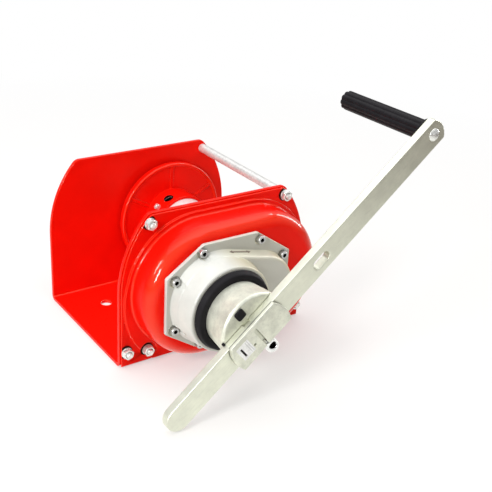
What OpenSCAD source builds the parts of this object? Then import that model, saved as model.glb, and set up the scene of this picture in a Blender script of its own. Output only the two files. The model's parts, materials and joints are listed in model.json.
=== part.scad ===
// Hand-cranked brake winch: spur-gear drum winch with an automatic load brake in the crank hub.
// X runs across the drum, Y along the shafts (crank side is -Y) and Z up from the mounting face.
// The origin is the centre of the four mounting holes on the underside of the base.

/* [Frame] */
// Width of the frame plates
frame_w = 220; // [216:1:230]
// Height of the frame plates
frame_h = 160; // [158:1:170]
// Clear depth between the two upright plates
inner_d = 154; // [140:1:190]
// Thickness of the bent frame sheet
plate_t = 4; // [3:0.5:5]
// Inside radius of the sheet bends
bend_r = 2; // [1:0.5:4]
// Radius of the upright plates' curved sides
side_arc_r = 120; // [116:1:126]
// Height up to which the plates' sides run straight
side_z = 79; // [74:1:84]
// Radius of the plates' top corners
top_corner_r = 9; // [5:1:12]
// Mounting hole diameter
mount_hole_d = 12; // [8:0.5:14]
// Mounting hole spacing along X
mount_pitch_x = 130; // [100:1:150]
// Mounting hole spacing along Y
mount_pitch_y = 75; // [60:1:90]

/* [Gear train] */
// Height of both shafts above the mounting face
axis_z = 78.5; // [78:0.5:82]
// Drum axis, to the right of the frame's middle
drum_x = 33.5; // [31:0.5:36]
// Gear module
gear_m = 2; // [2:0.05:2.1]
// Teeth on the pinion
pinion_teeth = 12; // [12:1:13]
// Teeth on the drum gear
gear_teeth = 50; // [49:1:51]
// Face width of the gears
gear_face = 12; // [8:1:13]
// Drum shaft diameter
drum_shaft_d = 25; // [20:1:28]
// Pinion shaft diameter
pinion_shaft_d = 18; // [16:0.5:18]

/* [Drum] */
// Outer diameter of the drum barrel
barrel_d = 60; // [50:1:66]
// Barrel wall
barrel_wall = 3; // [2:0.5:5]
// Diameter of the drum's end flanges
drum_flange_d = 126; // [110:1:134]
// Thickness of the drum's end flanges
drum_flange_t = 5; // [4:0.5:7]
// Side play between drum flange and frame plate
drum_gap = 4.5; // [4:0.25:6]
// Length of the reinforcing collar round the barrel
collar_len = 28; // [26:1:44]
// Radial wall of that collar
collar_wall = 3; // [2:0.5:4]
// Diameter of the rope hole through the barrel
rope_hole_d = 11; // [8:0.5:12]

/* [Cover] */
// Sheet thickness of the gear cover
cover_t = 2; // [1.5:0.25:2.5]
// Height of the cover's low step
step_h = 2.5; // [1.5:0.25:3.5]
// Depth of the cover from its flange to its top
dome_h = 33.5; // [32:0.5:36]
// Space between the dome's wall and the nearer of the frame's left and top edges
dome_margin = 11.5; // [10.5:0.5:15]
// Radius of the dome's rounded shoulder
shoulder_r = 14; // [8:0.5:16]
// Thread size of the frame and cover bolts
bolt_d = 6; // [6:1:8]

/* [Brake housing] */
// Width of the eight-sided flange
flange_w = 141; // [138:1:146]
// Height of the eight-sided flange
flange_h = 113; // [110:1:118]
// Thickness of that flange
flange_t = 4.5; // [4:0.25:6]
// Diameter of the round nose at its root
nose_d = 97; // [95:1:99]
// Length of the nose ahead of the flange
nose_len = 30.5; // [30:0.5:36]
// Thread size of the housing screws
screw_d = 5; // [4:0.5:5]
// Outer diameter of the ratchet wheel
ratchet_d = 60; // [58:0.5:60]
// Teeth on the ratchet wheel
ratchet_teeth = 12; // [10:2:12]
// Tooth height of the ratchet wheel
ratchet_tooth_h = 3.5; // [2.5:0.25:3.5]

/* [Crank] */
// Slope of the crank bar at rest
crank_angle = 39.7; // [0:0.1:60]
// Diameter of the crank hub
hub_d = 72; // [70:0.5:74]
// Narrowing of the crank hub towards the frame, on the radius
hub_taper = 3.3; // [2:0.1:4]
// Distance that the hub's face stands out of the nose
hub_reach = 39.5; // [34:0.5:46]
// Width of the crank bar
bar_w = 25; // [20:0.5:26]
// Thickness of the crank bar
bar_t = 9; // [6:0.5:10]
// Bar length from the shaft to the grip axis
arm_len = 245.5; // [200:0.5:300]
// Bar length from the shaft to its free end
tail_len = 117.5; // [90:0.5:120]
// Offset of the bar from the shaft axis
bar_offset = 4; // [2:0.25:5]
// Outer diameter of the grip
grip_d = 20; // [20:0.5:30]
// Length of the grip
grip_len = 112; // [90:1:120]
// Thread size of the clamp screw
clamp_d = 8; // [5:0.5:8]

/* [Hidden] */
$fn = 72;

// Clearances: fit is radial in running and sliding fits, face lies between flat faces, cut is an overshoot.
fit = 0.05;
face = 0.2;
cut = 1;

// Finishes.
red = [0.86, 0.08, 0.04];
cast_white = [0.86, 0.85, 0.82];
zinc = [0.72, 0.73, 0.7];
steel = [0.6, 0.61, 0.62];
bronze = [0.72, 0.55, 0.3];
lining = [0.3, 0.26, 0.22];
black = [0.06, 0.06, 0.06];

// Faces of the frame plates along Y; the crank side is negative.
back_in_y = inner_d / 2;
back_out_y = back_in_y + plate_t;
front_in_y = -back_in_y;
front_out_y = -back_out_y;

// Hex fasteners and washers follow their thread.
function hex_flats(d) = 1.5 * d + 1;
function nut_h(d) = 0.8 * d;
function washer_d(d) = 1.9 * d;
function washer_t(d) = 0.15 * d;
thread_out = 2;
bolt_clear = 1;
stud_rim = 4;
stud_head_t = 1;

// Bolts in the XZ plane; the tie rod takes the top right place.
top_bolt_inset = 31.5;
top_bolt_drop = 9.5;
side_bolt_inset = 7;
side_bolt_z = 17;
low_bolt_inset = 30;
low_bolt_z = 14;
top_bolt = [frame_w / 2 - top_bolt_inset, frame_h - top_bolt_drop];
side_bolt = [frame_w / 2 - side_bolt_inset, side_bolt_z];
low_bolt = [frame_w / 2 - low_bolt_inset, low_bolt_z];
COVER_BOLTS = [[-top_bolt.x, top_bolt.y], [-side_bolt.x, side_bolt.y], side_bolt,
    [-low_bolt.x, low_bolt.y], low_bolt];
tie_d = bolt_d + 4;

// Shafts and gears.
centre_dist = gear_m * (pinion_teeth + gear_teeth) / 2;
shaft_x = drum_x - centre_dist;
gear_back_gap = 9;
gear_back_y = front_out_y - gear_back_gap;
gear_front_y = gear_back_y - gear_face;
pinion_over = 1;
thrust_rise = 3;
pressure_angle = 25;
addendum = 0.85;
dedendum = 1.1;
backlash = 0.08;
flank_steps = 4;
bush_wall = 4.5;
bush_rim = 4;
bush_rim_t = 3;
bush_out = 5;
run_gap = 0.3;
key_w = 6;
key_sink = 3;
key_rise = 3;
circlip_t = 1.5;
circlip_rise = 2.5;
circlip_sink = 1;

// Drum.
drum_back_y = back_in_y - drum_gap;
drum_front_y = front_in_y + drum_gap;
barrel_back_y = drum_back_y - drum_flange_t;
barrel_front_y = drum_front_y + drum_flange_t;
flange_hub_d = 44;
flange_hub_len = 14;
bead_r = 2;
rib_w = 4;
rib_h = 1;
rib_count = 6;
rope_hole_angle = 115;
rope_hole_in = 17;
rope_hole_y = barrel_back_y - rope_hole_in;
rope_screw_angle = 142;
rope_screw_in = 15;
rope_screw_y = barrel_back_y - rope_screw_in;
rope_screw_d = 6.5;
rope_screw_out = 3;

// Gear cover.
cover_y = front_out_y - cover_t;
step_y = cover_y - step_h;
dome_y = cover_y - dome_h;
cover_inset = 1.5;
step_inset = 3;
step_x = 22;
step_z = 68;
step_r = 84;
step_land = 2.5;
bolt_relief = 7;
foot_r = 2.5;
dome_r = min(frame_w / 2 + shaft_x, frame_h - axis_z) - dome_margin;

// Brake housing.
housing_shift = 17.5;
housing_rise = 1;
housing_x = shaft_x + housing_shift;
housing_z = axis_z + housing_rise;
flange_y = dome_y - flange_t;
flange_side = 29.3;
flange_top = 30.5;
nose_y = flange_y - nose_len;
nose_taper = 4;
nose_round = 2.5;
pad_shift = 48.5;
pad_x = shaft_x + pad_shift;
pad_r = 37.5;
pad_h = 13.5;
pad_y = flange_y - pad_h;
pad_round = 4;
pad_draft = 1.5;
housing_wall = 3.5;
screw_inset = [8.5, 7.5];
screw_spread = [33, 26];
SCREW_SPOTS = [[flange_w / 2 - screw_inset.x, screw_spread.y],
    [screw_spread.x, flange_h / 2 - screw_inset.y]];
SCREWS = [for (side = [-1, 1], level = [-1, 1], spot = SCREW_SPOTS)
    [housing_x + side * spot.x, housing_z + level * spot.y]];
screw_head_d = 1.7 * screw_d;
screw_sink = 1;
screw_pocket = 1.2;
screw_out = 3;

// Brake stack, from the bearing plate towards the crank.
plate_rim_t = 3.5;
plate_r = 45.8;
disc_t = 5;
lining_t = 2.5;
ratchet_t = 6;
ratchet_r = ratchet_d / 2;
root_r = ratchet_r - ratchet_tooth_h;
plate_y = dome_y - plate_rim_t;
disc_back_y = plate_y - 1;
disc_front_y = disc_back_y - disc_t;
ratchet_back_y = disc_front_y - lining_t - 2 * face;
ratchet_front_y = ratchet_back_y - ratchet_t;
hub_back_y = ratchet_front_y - lining_t - 2 * face;
nose_wall_y = hub_back_y - 5;
lining_r = root_r - 0.5;
bush_sleeve_t = 4;
plate_boss_wall = 5;
plate_boss_y = gear_front_y - 5;

// Pawls, drawn for a tooth face at angle zero round the ratchet's centre.
pawl_pin_d = 5;
pawl_eye_r = 4.5;
pawl_t = 5;
pawl_gap = 0.3;
pawl_nose_r = root_r + 0.35;
pawl_nose_h = 3;
pawl_reach = 8;
pawl_drop = 11;
pawl_pivot = [root_r + pawl_reach, pawl_drop];
pawl_angle = 75;
pawl_back_y = (ratchet_back_y + ratchet_front_y + pawl_t) / 2;
pawl_front_y = pawl_back_y - pawl_t;
pawl_head_t = 1.8;
spring_wall = 1;
cavity_r = norm(pawl_pivot) + pawl_eye_r + 1.3;

// Hub and jaw in the crank's own frame: X along the bar, Z across it.
hub_r = hub_d / 2;
hub_neck_r = hub_r - hub_taper;
hub_gap = 1;
hub_face_y = nose_y - hub_reach;
block_len = 16;
block_y = hub_face_y + block_len;
bar_sink = 1.2;
seat_y = hub_face_y + bar_sink;
bar_back_y = seat_y - face;
bar_front_y = bar_back_y - bar_t;
jaw_back_y = bar_front_y - face;
jaw_t = 5.2;
jaw_r = 33.5;
jaw_x = -2.3;
jaw_lip = 2.2;
jaw_round = 1.2;
jaw_front_y = jaw_back_y - jaw_t;
bar_top = bar_offset + bar_w / 2;
bar_low = bar_offset - bar_w / 2;
web_t = 3.8;
web_low = bar_low - face - web_t;
rim_chamfer = 2;
hub_recess = 13.5;
hub_bore_end_y = hub_face_y + hub_recess;
end_thread_d = 12;
end_washer_t = 2;
end_nut_t = 8;
end_recess_r = washer_d(end_thread_d) / 2 + 0.5;
slit_w = 3;
slit_x = -2.5;
slit_len = 26.5;
pin_hole_x = -11.4;
pin_hole_z = 1;
pin_hole_d = 2.5;
notch_x = -2.7;
notch_l = 7.5;
notch_t = 4.2;
notch_h = 2.5;
lock_s = 8.2;
lock_h = 1.2;
lock_x = -1.9;
lock_z = hub_r - 7.9;
lock_shank_d = 6;
seal_wall = 8.6;
seal_len = 7;
seal_taper = 1.6;
seal_round = 2;
clamp_y = (bar_back_y + bar_front_y) / 2;
clamp_head_d = clamp_d + 5;
clamp_head_h = 14.5;
clamp_head_gap = 2;
clamp_tip_gap = 0.1;
clamp_hole_d = clamp_d - 0.5;
clamp_hole_h = 7;

// Bar and grip.
bar_end = 13;
bar_end_r = 18;
slot_x = 85.7;
slot_len = 20;
slot_w = 10;
spindle_d = 10;
rivet_d = 13;
rivet_h = 3;
collar_d = grip_d + 5;
collar_t = 3;
grip_back_y = bar_back_y + collar_t + face;
grip_end_y = grip_back_y + grip_len;
grip_lobes = 10;
lobe_r = 3.3;
grip_pocket = 8;
spindle_head_t = 2.5;

// ---------- helpers ----------

// Extrudes an XZ outline from y0 to y1.
module along_y(y0, y1) {
    translate([0, y1, 0])
        rotate([90, 0, 0])
            linear_extrude(height = y1 - y0)
                children();
}

// Extrudes a [z, y] section from x0 to x1.
module along_x(x0, x1) {
    translate([x1, 0, 0])
        rotate([0, -90, 0])
            linear_extrude(height = x1 - x0)
                children();
}

// Spins an [r, y] section round a line parallel to Y.
module lathe(x, z) {
    translate([x, 0, z])
        rotate([-90, 0, 0])
            rotate_extrude()
                children();
}

module rod(x, z, d, y0, y1) {
    translate([x, y1, z])
        rotate([90, 0, 0])
            cylinder(d = d, h = y1 - y0);
}

module hex_rod(x, z, flats, y0, y1) {
    translate([x, y1, z])
        rotate([90, 0, 0])
            rotate(30)
                cylinder(d = flats / cos(30), h = y1 - y0, $fn = 6);
}

module ring(x, z, d_out, d_in, y0, y1) {
    difference() {
        rod(x, z, d_out, y0, y1);
        rod(x, z, d_in, y0 - cut, y1 + cut);
    }
}

// A round bar on a radius of the drum, from r0 to r1.
module drum_spoke(angle, y, d, r0, r1) {
    translate([drum_x, y, axis_z])
        rotate([0, -angle, 0])
            translate([r0, 0, 0])
                rotate([0, 90, 0])
                    cylinder(d = d, h = r1 - r0);
}

// Puts children in the crank's frame: X along the bar towards the grip, Z across it.
module on_crank() {
    translate([shaft_x, 0, axis_z])
        rotate([0, -crank_angle, 0])
            children();
}

// A rod across the bar in the crank's frame.
module cross_rod(x, y, d, z0, z1) {
    translate([x, y, z0])
        cylinder(d = d, h = z1 - z0);
}

function polar(r, a) = [r * cos(a), r * sin(a)];

// ---------- frame and cover ----------

// The area under both side arcs: straight sides below side_z, arcs above.
module arched_sides(arc_x, arc_r) {
    intersection_for(side = [-1, 1])
        union() {
            translate([side * arc_x, side_z])
                circle(r = arc_r, $fn = 144);
            translate([-frame_w, 0])
                square([2 * frame_w, side_z]);
        }
}

// What lies outside the rounded left top corner.
module corner_waste(corner, arc_dir) {
    reach = 2 * top_corner_r;
    difference() {
        polygon([corner, corner + [0, reach], corner + [-reach, reach], corner + reach * arc_dir]);
        translate(corner)
            circle(r = top_corner_r);
    }
}

// Outline of an upright plate, drawn in by inset all round.
module plate_outline(inset) {
    half = frame_w / 2 - inset;
    arc_x = side_arc_r - frame_w / 2;
    arc_r = side_arc_r - inset;
    reach = arc_r - top_corner_r;
    corner_z = frame_h - inset - top_corner_r;
    corner_x = arc_x - sqrt(pow(reach, 2) - pow(corner_z - side_z, 2));
    corner = [corner_x, corner_z];
    arc_dir = (corner - [arc_x, side_z]) / reach;
    difference() {
        intersection() {
            translate([-half, inset])
                square([2 * half, frame_h - 2 * inset]);
            arched_sides(arc_x, arc_r);
        }
        corner_waste(corner, arc_dir);
        mirror([1, 0])
            corner_waste(corner, arc_dir);
    }
}

// A [z, y] channel with rounded inner bends, open at the top.
module trough(z0, half, r) {
    translate([z0 + r, -half])
        square([frame_h + cut, 2 * half]);
    translate([z0, -half + r])
        square([r + cut, 2 * (half - r)]);
    for (side = [-1, 1])
        translate([z0 + r, side * (half - r)])
            circle(r = r);
}

module bolt_holes(places, y0, y1) {
    for (p = places)
        rod(p.x, p.y, bolt_d + bolt_clear, y0, y1);
}

module frame() {
    color(red)
        difference() {
            intersection() {
                along_x(-frame_w / 2, frame_w / 2)
                    difference() {
                        trough(0, back_out_y, bend_r + plate_t);
                        trough(plate_t, back_in_y, bend_r);
                    }
                along_y(front_out_y, back_out_y)
                    plate_outline(0);
            }
            for (x = [-1, 1] * mount_pitch_x / 2, y = [-1, 1] * mount_pitch_y / 2)
                translate([x, y, -cut])
                    cylinder(d = mount_hole_d, h = plate_t + 2 * cut);
            bolt_holes(COVER_BOLTS, front_out_y - cut, front_in_y + cut);
            bolt_holes([top_bolt], front_out_y - cut, back_out_y + cut);
            rod(drum_x, axis_z, bush_d(drum_shaft_d) + 2 * fit, front_out_y - cut, back_out_y + cut);
            rod(shaft_x, axis_z, bush_d(pinion_shaft_d) + 2 * fit, front_out_y - cut, front_in_y + cut);
        }
}

// Half of the dome's section: flat top, rounded shoulder, straight wall and concave foot.
module dome_section(r, top_y, foot_y, shoulder, foot) {
    difference() {
        union() {
            translate([0, top_y])
                square([r - shoulder, foot_y - top_y]);
            translate([0, top_y + shoulder])
                square([r, foot_y - top_y - shoulder]);
            translate([r - shoulder, top_y + shoulder])
                circle(r = shoulder);
            translate([r - foot, foot_y - foot])
                square([2 * foot, foot]);
        }
        translate([r + foot, foot_y - foot])
            circle(r = foot);
    }
}

module dome(r, top_y, foot_y, shoulder, foot) {
    for (x = [shaft_x, drum_x])
        lathe(x, axis_z)
            dome_section(r, top_y, foot_y, shoulder, foot);
    translate([0, 0, axis_z])
        along_x(shaft_x, drum_x)
            for (side = [0, 1])
                mirror([side, 0])
                    dome_section(r, top_y, foot_y, shoulder, foot);
}

// Two circles at height z joined by a band.
module stadium(x0, x1, z, r) {
    for (x = [x0, x1])
        translate([x, z])
            circle(r = r);
    translate([x0, z - r])
        square([x1 - x0, 2 * r]);
}

// The low step round the dome, scalloped round the bolts.
module step_outline(shrink) {
    difference() {
        intersection() {
            union() {
                stadium(-step_x, step_x, step_z, step_r - shrink);
                stadium(shaft_x, drum_x, axis_z, dome_r + foot_r + step_land - shrink);
            }
            plate_outline(step_inset + shrink);
        }
        for (p = COVER_BOLTS)
            translate(p)
                circle(d = washer_d(bolt_d) + bolt_relief + 2 * shrink);
    }
}

module gear_cover() {
    color(red)
        difference() {
            union() {
                along_y(cover_y, front_out_y)
                    plate_outline(cover_inset);
                along_y(step_y, front_out_y)
                    step_outline(0);
                dome(dome_r, dome_y, step_y, shoulder_r, foot_r);
            }
            along_y(step_y + cover_t, front_out_y + cut)
                step_outline(cover_t);
            dome(dome_r - cover_t, dome_y + cover_t, step_y + cover_t, shoulder_r - cover_t,
                foot_r + cover_t);
            rod(shaft_x, axis_z, 2 * (cavity_r - face), dome_y - cut, dome_y + cover_t + cut);
            bolt_holes(concat(COVER_BOLTS, [top_bolt]), cover_y - cut, front_out_y + cut);
            for (p = SCREWS)
                rod(p.x, p.y, screw_d + 2 * fit, dome_y - cut, dome_y + cover_t + screw_out + cut);
        }
}

module nuts(places, seat_y, way) {
    for (p = places) {
        y0 = seat_y + way * washer_t(bolt_d);
        y1 = y0 + way * nut_h(bolt_d);
        difference() {
            hex_rod(p.x, p.y, hex_flats(bolt_d), min(y0, y1), max(y0, y1));
            rod(p.x, p.y, bolt_d + 2 * fit, min(y0, y1) - cut, max(y0, y1) + cut);
        }
    }
}

module washers(places, seat_y, way) {
    for (p = places) {
        y1 = seat_y + way * washer_t(bolt_d);
        ring(p.x, p.y, washer_d(bolt_d), bolt_d + bolt_clear / 2, min(seat_y, y1), max(seat_y, y1));
    }
}

// How far a thread stands out of its seat, past washer and nut.
function stud_out(d) = washer_t(d) + nut_h(d) + thread_out;

// Clinch studs: a thin round head inside the plate and a thread that stands out of the cover.
module cover_bolts() {
    color(zinc)
        for (p = COVER_BOLTS) {
            rod(p.x, p.y, bolt_d + stud_rim, front_in_y, front_in_y + stud_head_t);
            rod(p.x, p.y, bolt_d, cover_y - stud_out(bolt_d), front_in_y + stud_head_t / 2);
        }
}

module cover_nuts() {
    color(zinc)
        nuts(COVER_BOLTS, cover_y, -1);
}

module cover_washers() {
    color(zinc)
        washers(COVER_BOLTS, cover_y, -1);
}

module tie_rod() {
    color(zinc) {
        rod(top_bolt.x, top_bolt.y, tie_d, front_in_y, back_in_y);
        rod(top_bolt.x, top_bolt.y, bolt_d, cover_y - stud_out(bolt_d), back_out_y + stud_out(bolt_d));
    }
}

module tie_rod_nuts() {
    color(zinc) {
        nuts([top_bolt], cover_y, -1);
        nuts([top_bolt], back_out_y, 1);
    }
}

module tie_rod_washers() {
    color(zinc) {
        washers([top_bolt], cover_y, -1);
        washers([top_bolt], back_out_y, 1);
    }
}

// ---------- brake housing ----------

module housing_outline() {
    half_w = flange_w / 2;
    half_h = flange_h / 2;
    translate([housing_x, housing_z])
        polygon([
            [half_w, -flange_side], [half_w, flange_side], [flange_top, half_h], [-flange_top, half_h],
            [-half_w, flange_side], [-half_w, -flange_side], [-flange_top, -half_h], [flange_top, -half_h]
        ]);
}

// A flat disc with a drafted wall and a rounded front edge.
module pad_disc(x, z, r) {
    lathe(x, z)
        union() {
            polygon([
                [0, flange_y], [r, flange_y], [r - pad_draft, pad_y + pad_round],
                [r - pad_draft - pad_round, pad_y], [0, pad_y]
            ]);
            translate([r - pad_draft - pad_round, pad_y + pad_round])
                circle(r = pad_round);
        }
}

module nose_section() {
    r = nose_d / 2;
    front_r = r - nose_taper;
    polygon([
        [0, flange_y], [r, flange_y], [front_r, nose_y + nose_round],
        [front_r - nose_round, nose_y], [0, nose_y]
    ]);
    translate([front_r - nose_round, nose_y + nose_round])
        circle(r = nose_round);
}

module brake_housing() {
    color(cast_white)
        difference() {
            union() {
                along_y(flange_y, dome_y)
                    housing_outline();
                hull($fn = 48) {
                    pad_disc(shaft_x, axis_z, nose_d / 2 + 0.5);
                    pad_disc(pad_x, axis_z, pad_r);
                }
                lathe(shaft_x, axis_z)
                    nose_section();
            }
            rod(shaft_x, axis_z, 2 * (plate_r + fit), plate_y, dome_y + cut);
            rod(shaft_x, axis_z, 2 * cavity_r, nose_wall_y, dome_y + cut);
            rod(shaft_x, axis_z, 2 * (hub_neck_r + hub_gap), nose_y - cut, nose_wall_y + cut);
            rod(pad_x, axis_z, 2 * (pad_r - housing_wall), pad_y + housing_wall, dome_y + cut);
            for (p = SCREWS) {
                rod(p.x, p.y, screw_head_d + 2 * screw_pocket, pad_y - cut, flange_y + screw_sink);
                rod(p.x, p.y, screw_d + 2 * fit, flange_y - cut, dome_y + cut);
            }
        }
}

module housing_screws() {
    seat = flange_y + screw_sink;
    color(zinc)
        for (p = SCREWS)
            difference() {
                union() {
                    rod(p.x, p.y, screw_head_d, seat - screw_d, seat);
                    rod(p.x, p.y, screw_d, seat - cut, dome_y + cover_t + screw_out);
                }
                hex_rod(p.x, p.y, 0.8 * screw_d, seat - screw_d - cut, seat - 0.4 * screw_d);
            }
}

module bearing_plate() {
    boss_d = bush_d(pinion_shaft_d) + 2 * plate_boss_wall;
    color(steel)
        difference() {
            union() {
                rod(shaft_x, axis_z, 2 * plate_r, plate_y, dome_y);
                rod(shaft_x, axis_z, boss_d, plate_y, plate_boss_y);
            }
            rod(shaft_x, axis_z, bush_d(pinion_shaft_d) + 2 * fit, plate_y - cut, plate_boss_y + cut);
            for (side = [0, 180])
                rod_at_pawl(side, pawl_pin_d + 2 * fit, plate_y - cut, dome_y + cut);
        }
}

// ---------- bushes ----------

function bush_d(shaft_d) = shaft_d + 2 * bush_wall;

// A flanged bush through a frame plate: rim inside, plain end outside.
module plate_bush(x, shaft_d, in_y, out_y) {
    way = sign(out_y - in_y);
    rim_y = in_y - way * bush_rim_t;
    end_y = out_y + way * bush_out;
    color(bronze)
        difference() {
            union() {
                rod(x, axis_z, bush_d(shaft_d) + 2 * bush_rim, min(rim_y, in_y), max(rim_y, in_y));
                rod(x, axis_z, bush_d(shaft_d), min(rim_y, end_y), max(rim_y, end_y));
            }
            rod(x, axis_z, shaft_d + 2 * fit, min(rim_y, end_y) - cut, max(rim_y, end_y) + cut);
        }
}

module drum_bush_rear() {
    plate_bush(drum_x, drum_shaft_d, back_in_y, back_out_y);
}

module drum_bush_front() {
    plate_bush(drum_x, drum_shaft_d, front_in_y, front_out_y);
}

module pinion_bush_rear() {
    plate_bush(shaft_x, pinion_shaft_d, front_in_y, front_out_y);
}

module pinion_bush_front() {
    color(bronze)
        ring(shaft_x, axis_z, bush_d(pinion_shaft_d), pinion_shaft_d + 2 * fit, plate_y, plate_boss_y);
}

// ---------- drum ----------

// A key standing on top of the drum shaft; grow widens it into a keyway.
module drum_key(y0, y1, grow) {
    r = drum_shaft_d / 2;
    translate([drum_x - key_w / 2 - grow, y0 - grow, axis_z + r - key_sink - grow])
        cube([key_w + 2 * grow, y1 - y0 + 2 * grow, key_sink + key_rise + 2 * grow]);
}

// Key spans: rear flange, front flange and gear.
rear_key_y = barrel_back_y - flange_hub_len + 2;
front_key_y = drum_front_y + 2;
KEYS = [[rear_key_y, drum_back_y - 2], [front_key_y, barrel_front_y + flange_hub_len - 2],
    [gear_front_y + 1, gear_back_y - 1]];

module drum_keys() {
    color(steel)
        for (k = KEYS)
            drum_key(k[0], k[1], 0);
}

module keyways() {
    for (k = KEYS)
        drum_key(k[0], k[1], fit);
}

module drum_bore() {
    rod(drum_x, axis_z, drum_shaft_d + 2 * fit, gear_front_y - cut, drum_back_y + cut);
    keyways();
}

module drum_flange_rear() {
    r = drum_flange_d / 2;
    collar_r = barrel_d / 2 + collar_wall;
    color(red)
        difference() {
            union() {
                rod(drum_x, axis_z, drum_flange_d, barrel_back_y, drum_back_y);
                rod(drum_x, axis_z, 2 * collar_r, barrel_back_y - collar_len, drum_back_y);
                lathe(drum_x, axis_z)
                    translate([r - bead_r, barrel_back_y])
                        circle(r = bead_r);
                for (i = [0:rib_count - 1])
                    translate([drum_x, 0, axis_z])
                        rotate([0, -360 / rib_count * (i + 0.5), 0])
                            translate([collar_r - cut, barrel_back_y - rib_h, -rib_w / 2])
                                cube([r - bead_r - collar_r + cut, rib_h + cut, rib_w]);
            }
            difference() {
                rod(drum_x, axis_z, barrel_d + 2 * fit, barrel_back_y - collar_len - cut, barrel_back_y);
                rod(drum_x, axis_z, flange_hub_d, barrel_back_y - flange_hub_len, barrel_back_y + cut);
            }
            drum_bore();
            drum_spoke(rope_hole_angle, rope_hole_y, rope_hole_d, barrel_d / 2 - barrel_wall - cut,
                collar_r + cut);
            drum_spoke(rope_screw_angle, rope_screw_y, rope_screw_d + 2 * fit,
                barrel_d / 2 - barrel_wall - cut, collar_r + cut);
        }
}

module drum_barrel() {
    color(steel)
        difference() {
            rod(drum_x, axis_z, barrel_d, barrel_front_y, barrel_back_y);
            rod(drum_x, axis_z, barrel_d - 2 * barrel_wall, barrel_front_y - cut, barrel_back_y + cut);
            drum_spoke(rope_hole_angle, rope_hole_y, rope_hole_d, flange_hub_d / 2, barrel_d);
            drum_spoke(rope_screw_angle, rope_screw_y, rope_screw_d + 2 * fit, flange_hub_d / 2, barrel_d);
        }
}

module drum_flange_front() {
    color(red)
        difference() {
            union() {
                rod(drum_x, axis_z, drum_flange_d, drum_front_y, barrel_front_y);
                rod(drum_x, axis_z, flange_hub_d, drum_front_y, barrel_front_y + flange_hub_len);
                lathe(drum_x, axis_z)
                    translate([drum_flange_d / 2 - bead_r, barrel_front_y])
                        circle(r = bead_r);
            }
            drum_bore();
        }
}

module rope_clamp_screw() {
    out = barrel_d / 2 + collar_wall + rope_screw_out;
    color(zinc)
        difference() {
            drum_spoke(rope_screw_angle, rope_screw_y, rope_screw_d, barrel_d / 2 - barrel_wall, out);
            translate([drum_x, rope_screw_y, axis_z])
                rotate([0, 90 - rope_screw_angle, 0])
                    translate([0, 0, out - rope_screw_out / 2])
                        cylinder(d = rope_screw_d / 2, h = rope_screw_out, $fn = 6);
        }
}

// Circlips sit outside the rear bush and in front of the gear.
shaft_rear_clip_y = back_out_y + bush_out + run_gap;
shaft_front_clip_y = gear_front_y - run_gap - circlip_t;

module drum_shaft() {
    color(steel)
        difference() {
            rod(drum_x, axis_z, drum_shaft_d, shaft_front_clip_y - 2, shaft_rear_clip_y + circlip_t + 2);
            for (y = [shaft_front_clip_y, shaft_rear_clip_y])
                ring(drum_x, axis_z, drum_shaft_d + cut, drum_shaft_d - 2 * circlip_sink, y, y + circlip_t);
            keyways();
        }
}

module drum_circlips() {
    color(steel)
        for (y = [shaft_front_clip_y, shaft_rear_clip_y])
            difference() {
                ring(drum_x, axis_z, drum_shaft_d + 2 * circlip_rise, drum_shaft_d - 2 * (circlip_sink - fit),
                    y + fit, y + circlip_t - fit);
                translate([drum_x - 2, y - cut, axis_z - drum_shaft_d])
                    cube([4, circlip_t + 2 * cut, drum_shaft_d]);
            }
}

// ---------- gears ----------

function inv(a) = tan(a) * 180 / PI - a;

// Half the tooth's angle at radius r.
function half_tooth(r, teeth) =
    let (pitch_r = gear_m * teeth / 2, base_r = pitch_r * cos(pressure_angle))
    90 / teeth - backlash / pitch_r * 180 / PI + inv(pressure_angle)
        - inv(acos(min(1, base_r / r)));

function gear_points(teeth, first) =
    let (
        pitch_r = gear_m * teeth / 2,
        low = pitch_r - dedendum * gear_m,
        high = pitch_r + addendum * gear_m,
        base_r = pitch_r * cos(pressure_angle),
        start = max(low, base_r),
        climb = [low, for (k = [0:flank_steps]) start + (high - start) * k / flank_steps]
    )
    [for (i = [0:teeth - 1], side = [-1, 1], k = [0:len(climb) - 1])
        let (r = side < 0 ? climb[k] : climb[len(climb) - 1 - k])
        polar(r, first + 360 / teeth * i + side * half_tooth(r, teeth))];

module main_gear() {
    hub_back = front_out_y - bush_out - run_gap;
    color(steel)
        difference() {
            union() {
                along_y(gear_front_y, gear_back_y)
                    translate([drum_x, axis_z])
                        polygon(gear_points(gear_teeth, 180));
                rod(drum_x, axis_z, flange_hub_d, gear_back_y - cut, hub_back);
            }
            rod(drum_x, axis_z, drum_shaft_d + 2 * fit, gear_front_y - cut, hub_back + cut);
            keyways();
        }
}

// ---------- pinion shaft and brake ----------

shaft_key = [disc_front_y + 0.5, disc_back_y - 0.5];

module shaft_key_block(grow) {
    base_z = axis_z + pinion_shaft_d / 2 - key_sink;
    translate([shaft_x - key_w / 2 - grow, shaft_key[0] - grow, base_z - grow])
        cube([key_w + 2 * grow, shaft_key[1] - shaft_key[0] + 2 * grow, key_sink + key_rise + 2 * grow]);
}

end_seat_y = hub_bore_end_y - run_gap;
end_nut_y = end_seat_y - end_washer_t;

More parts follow.
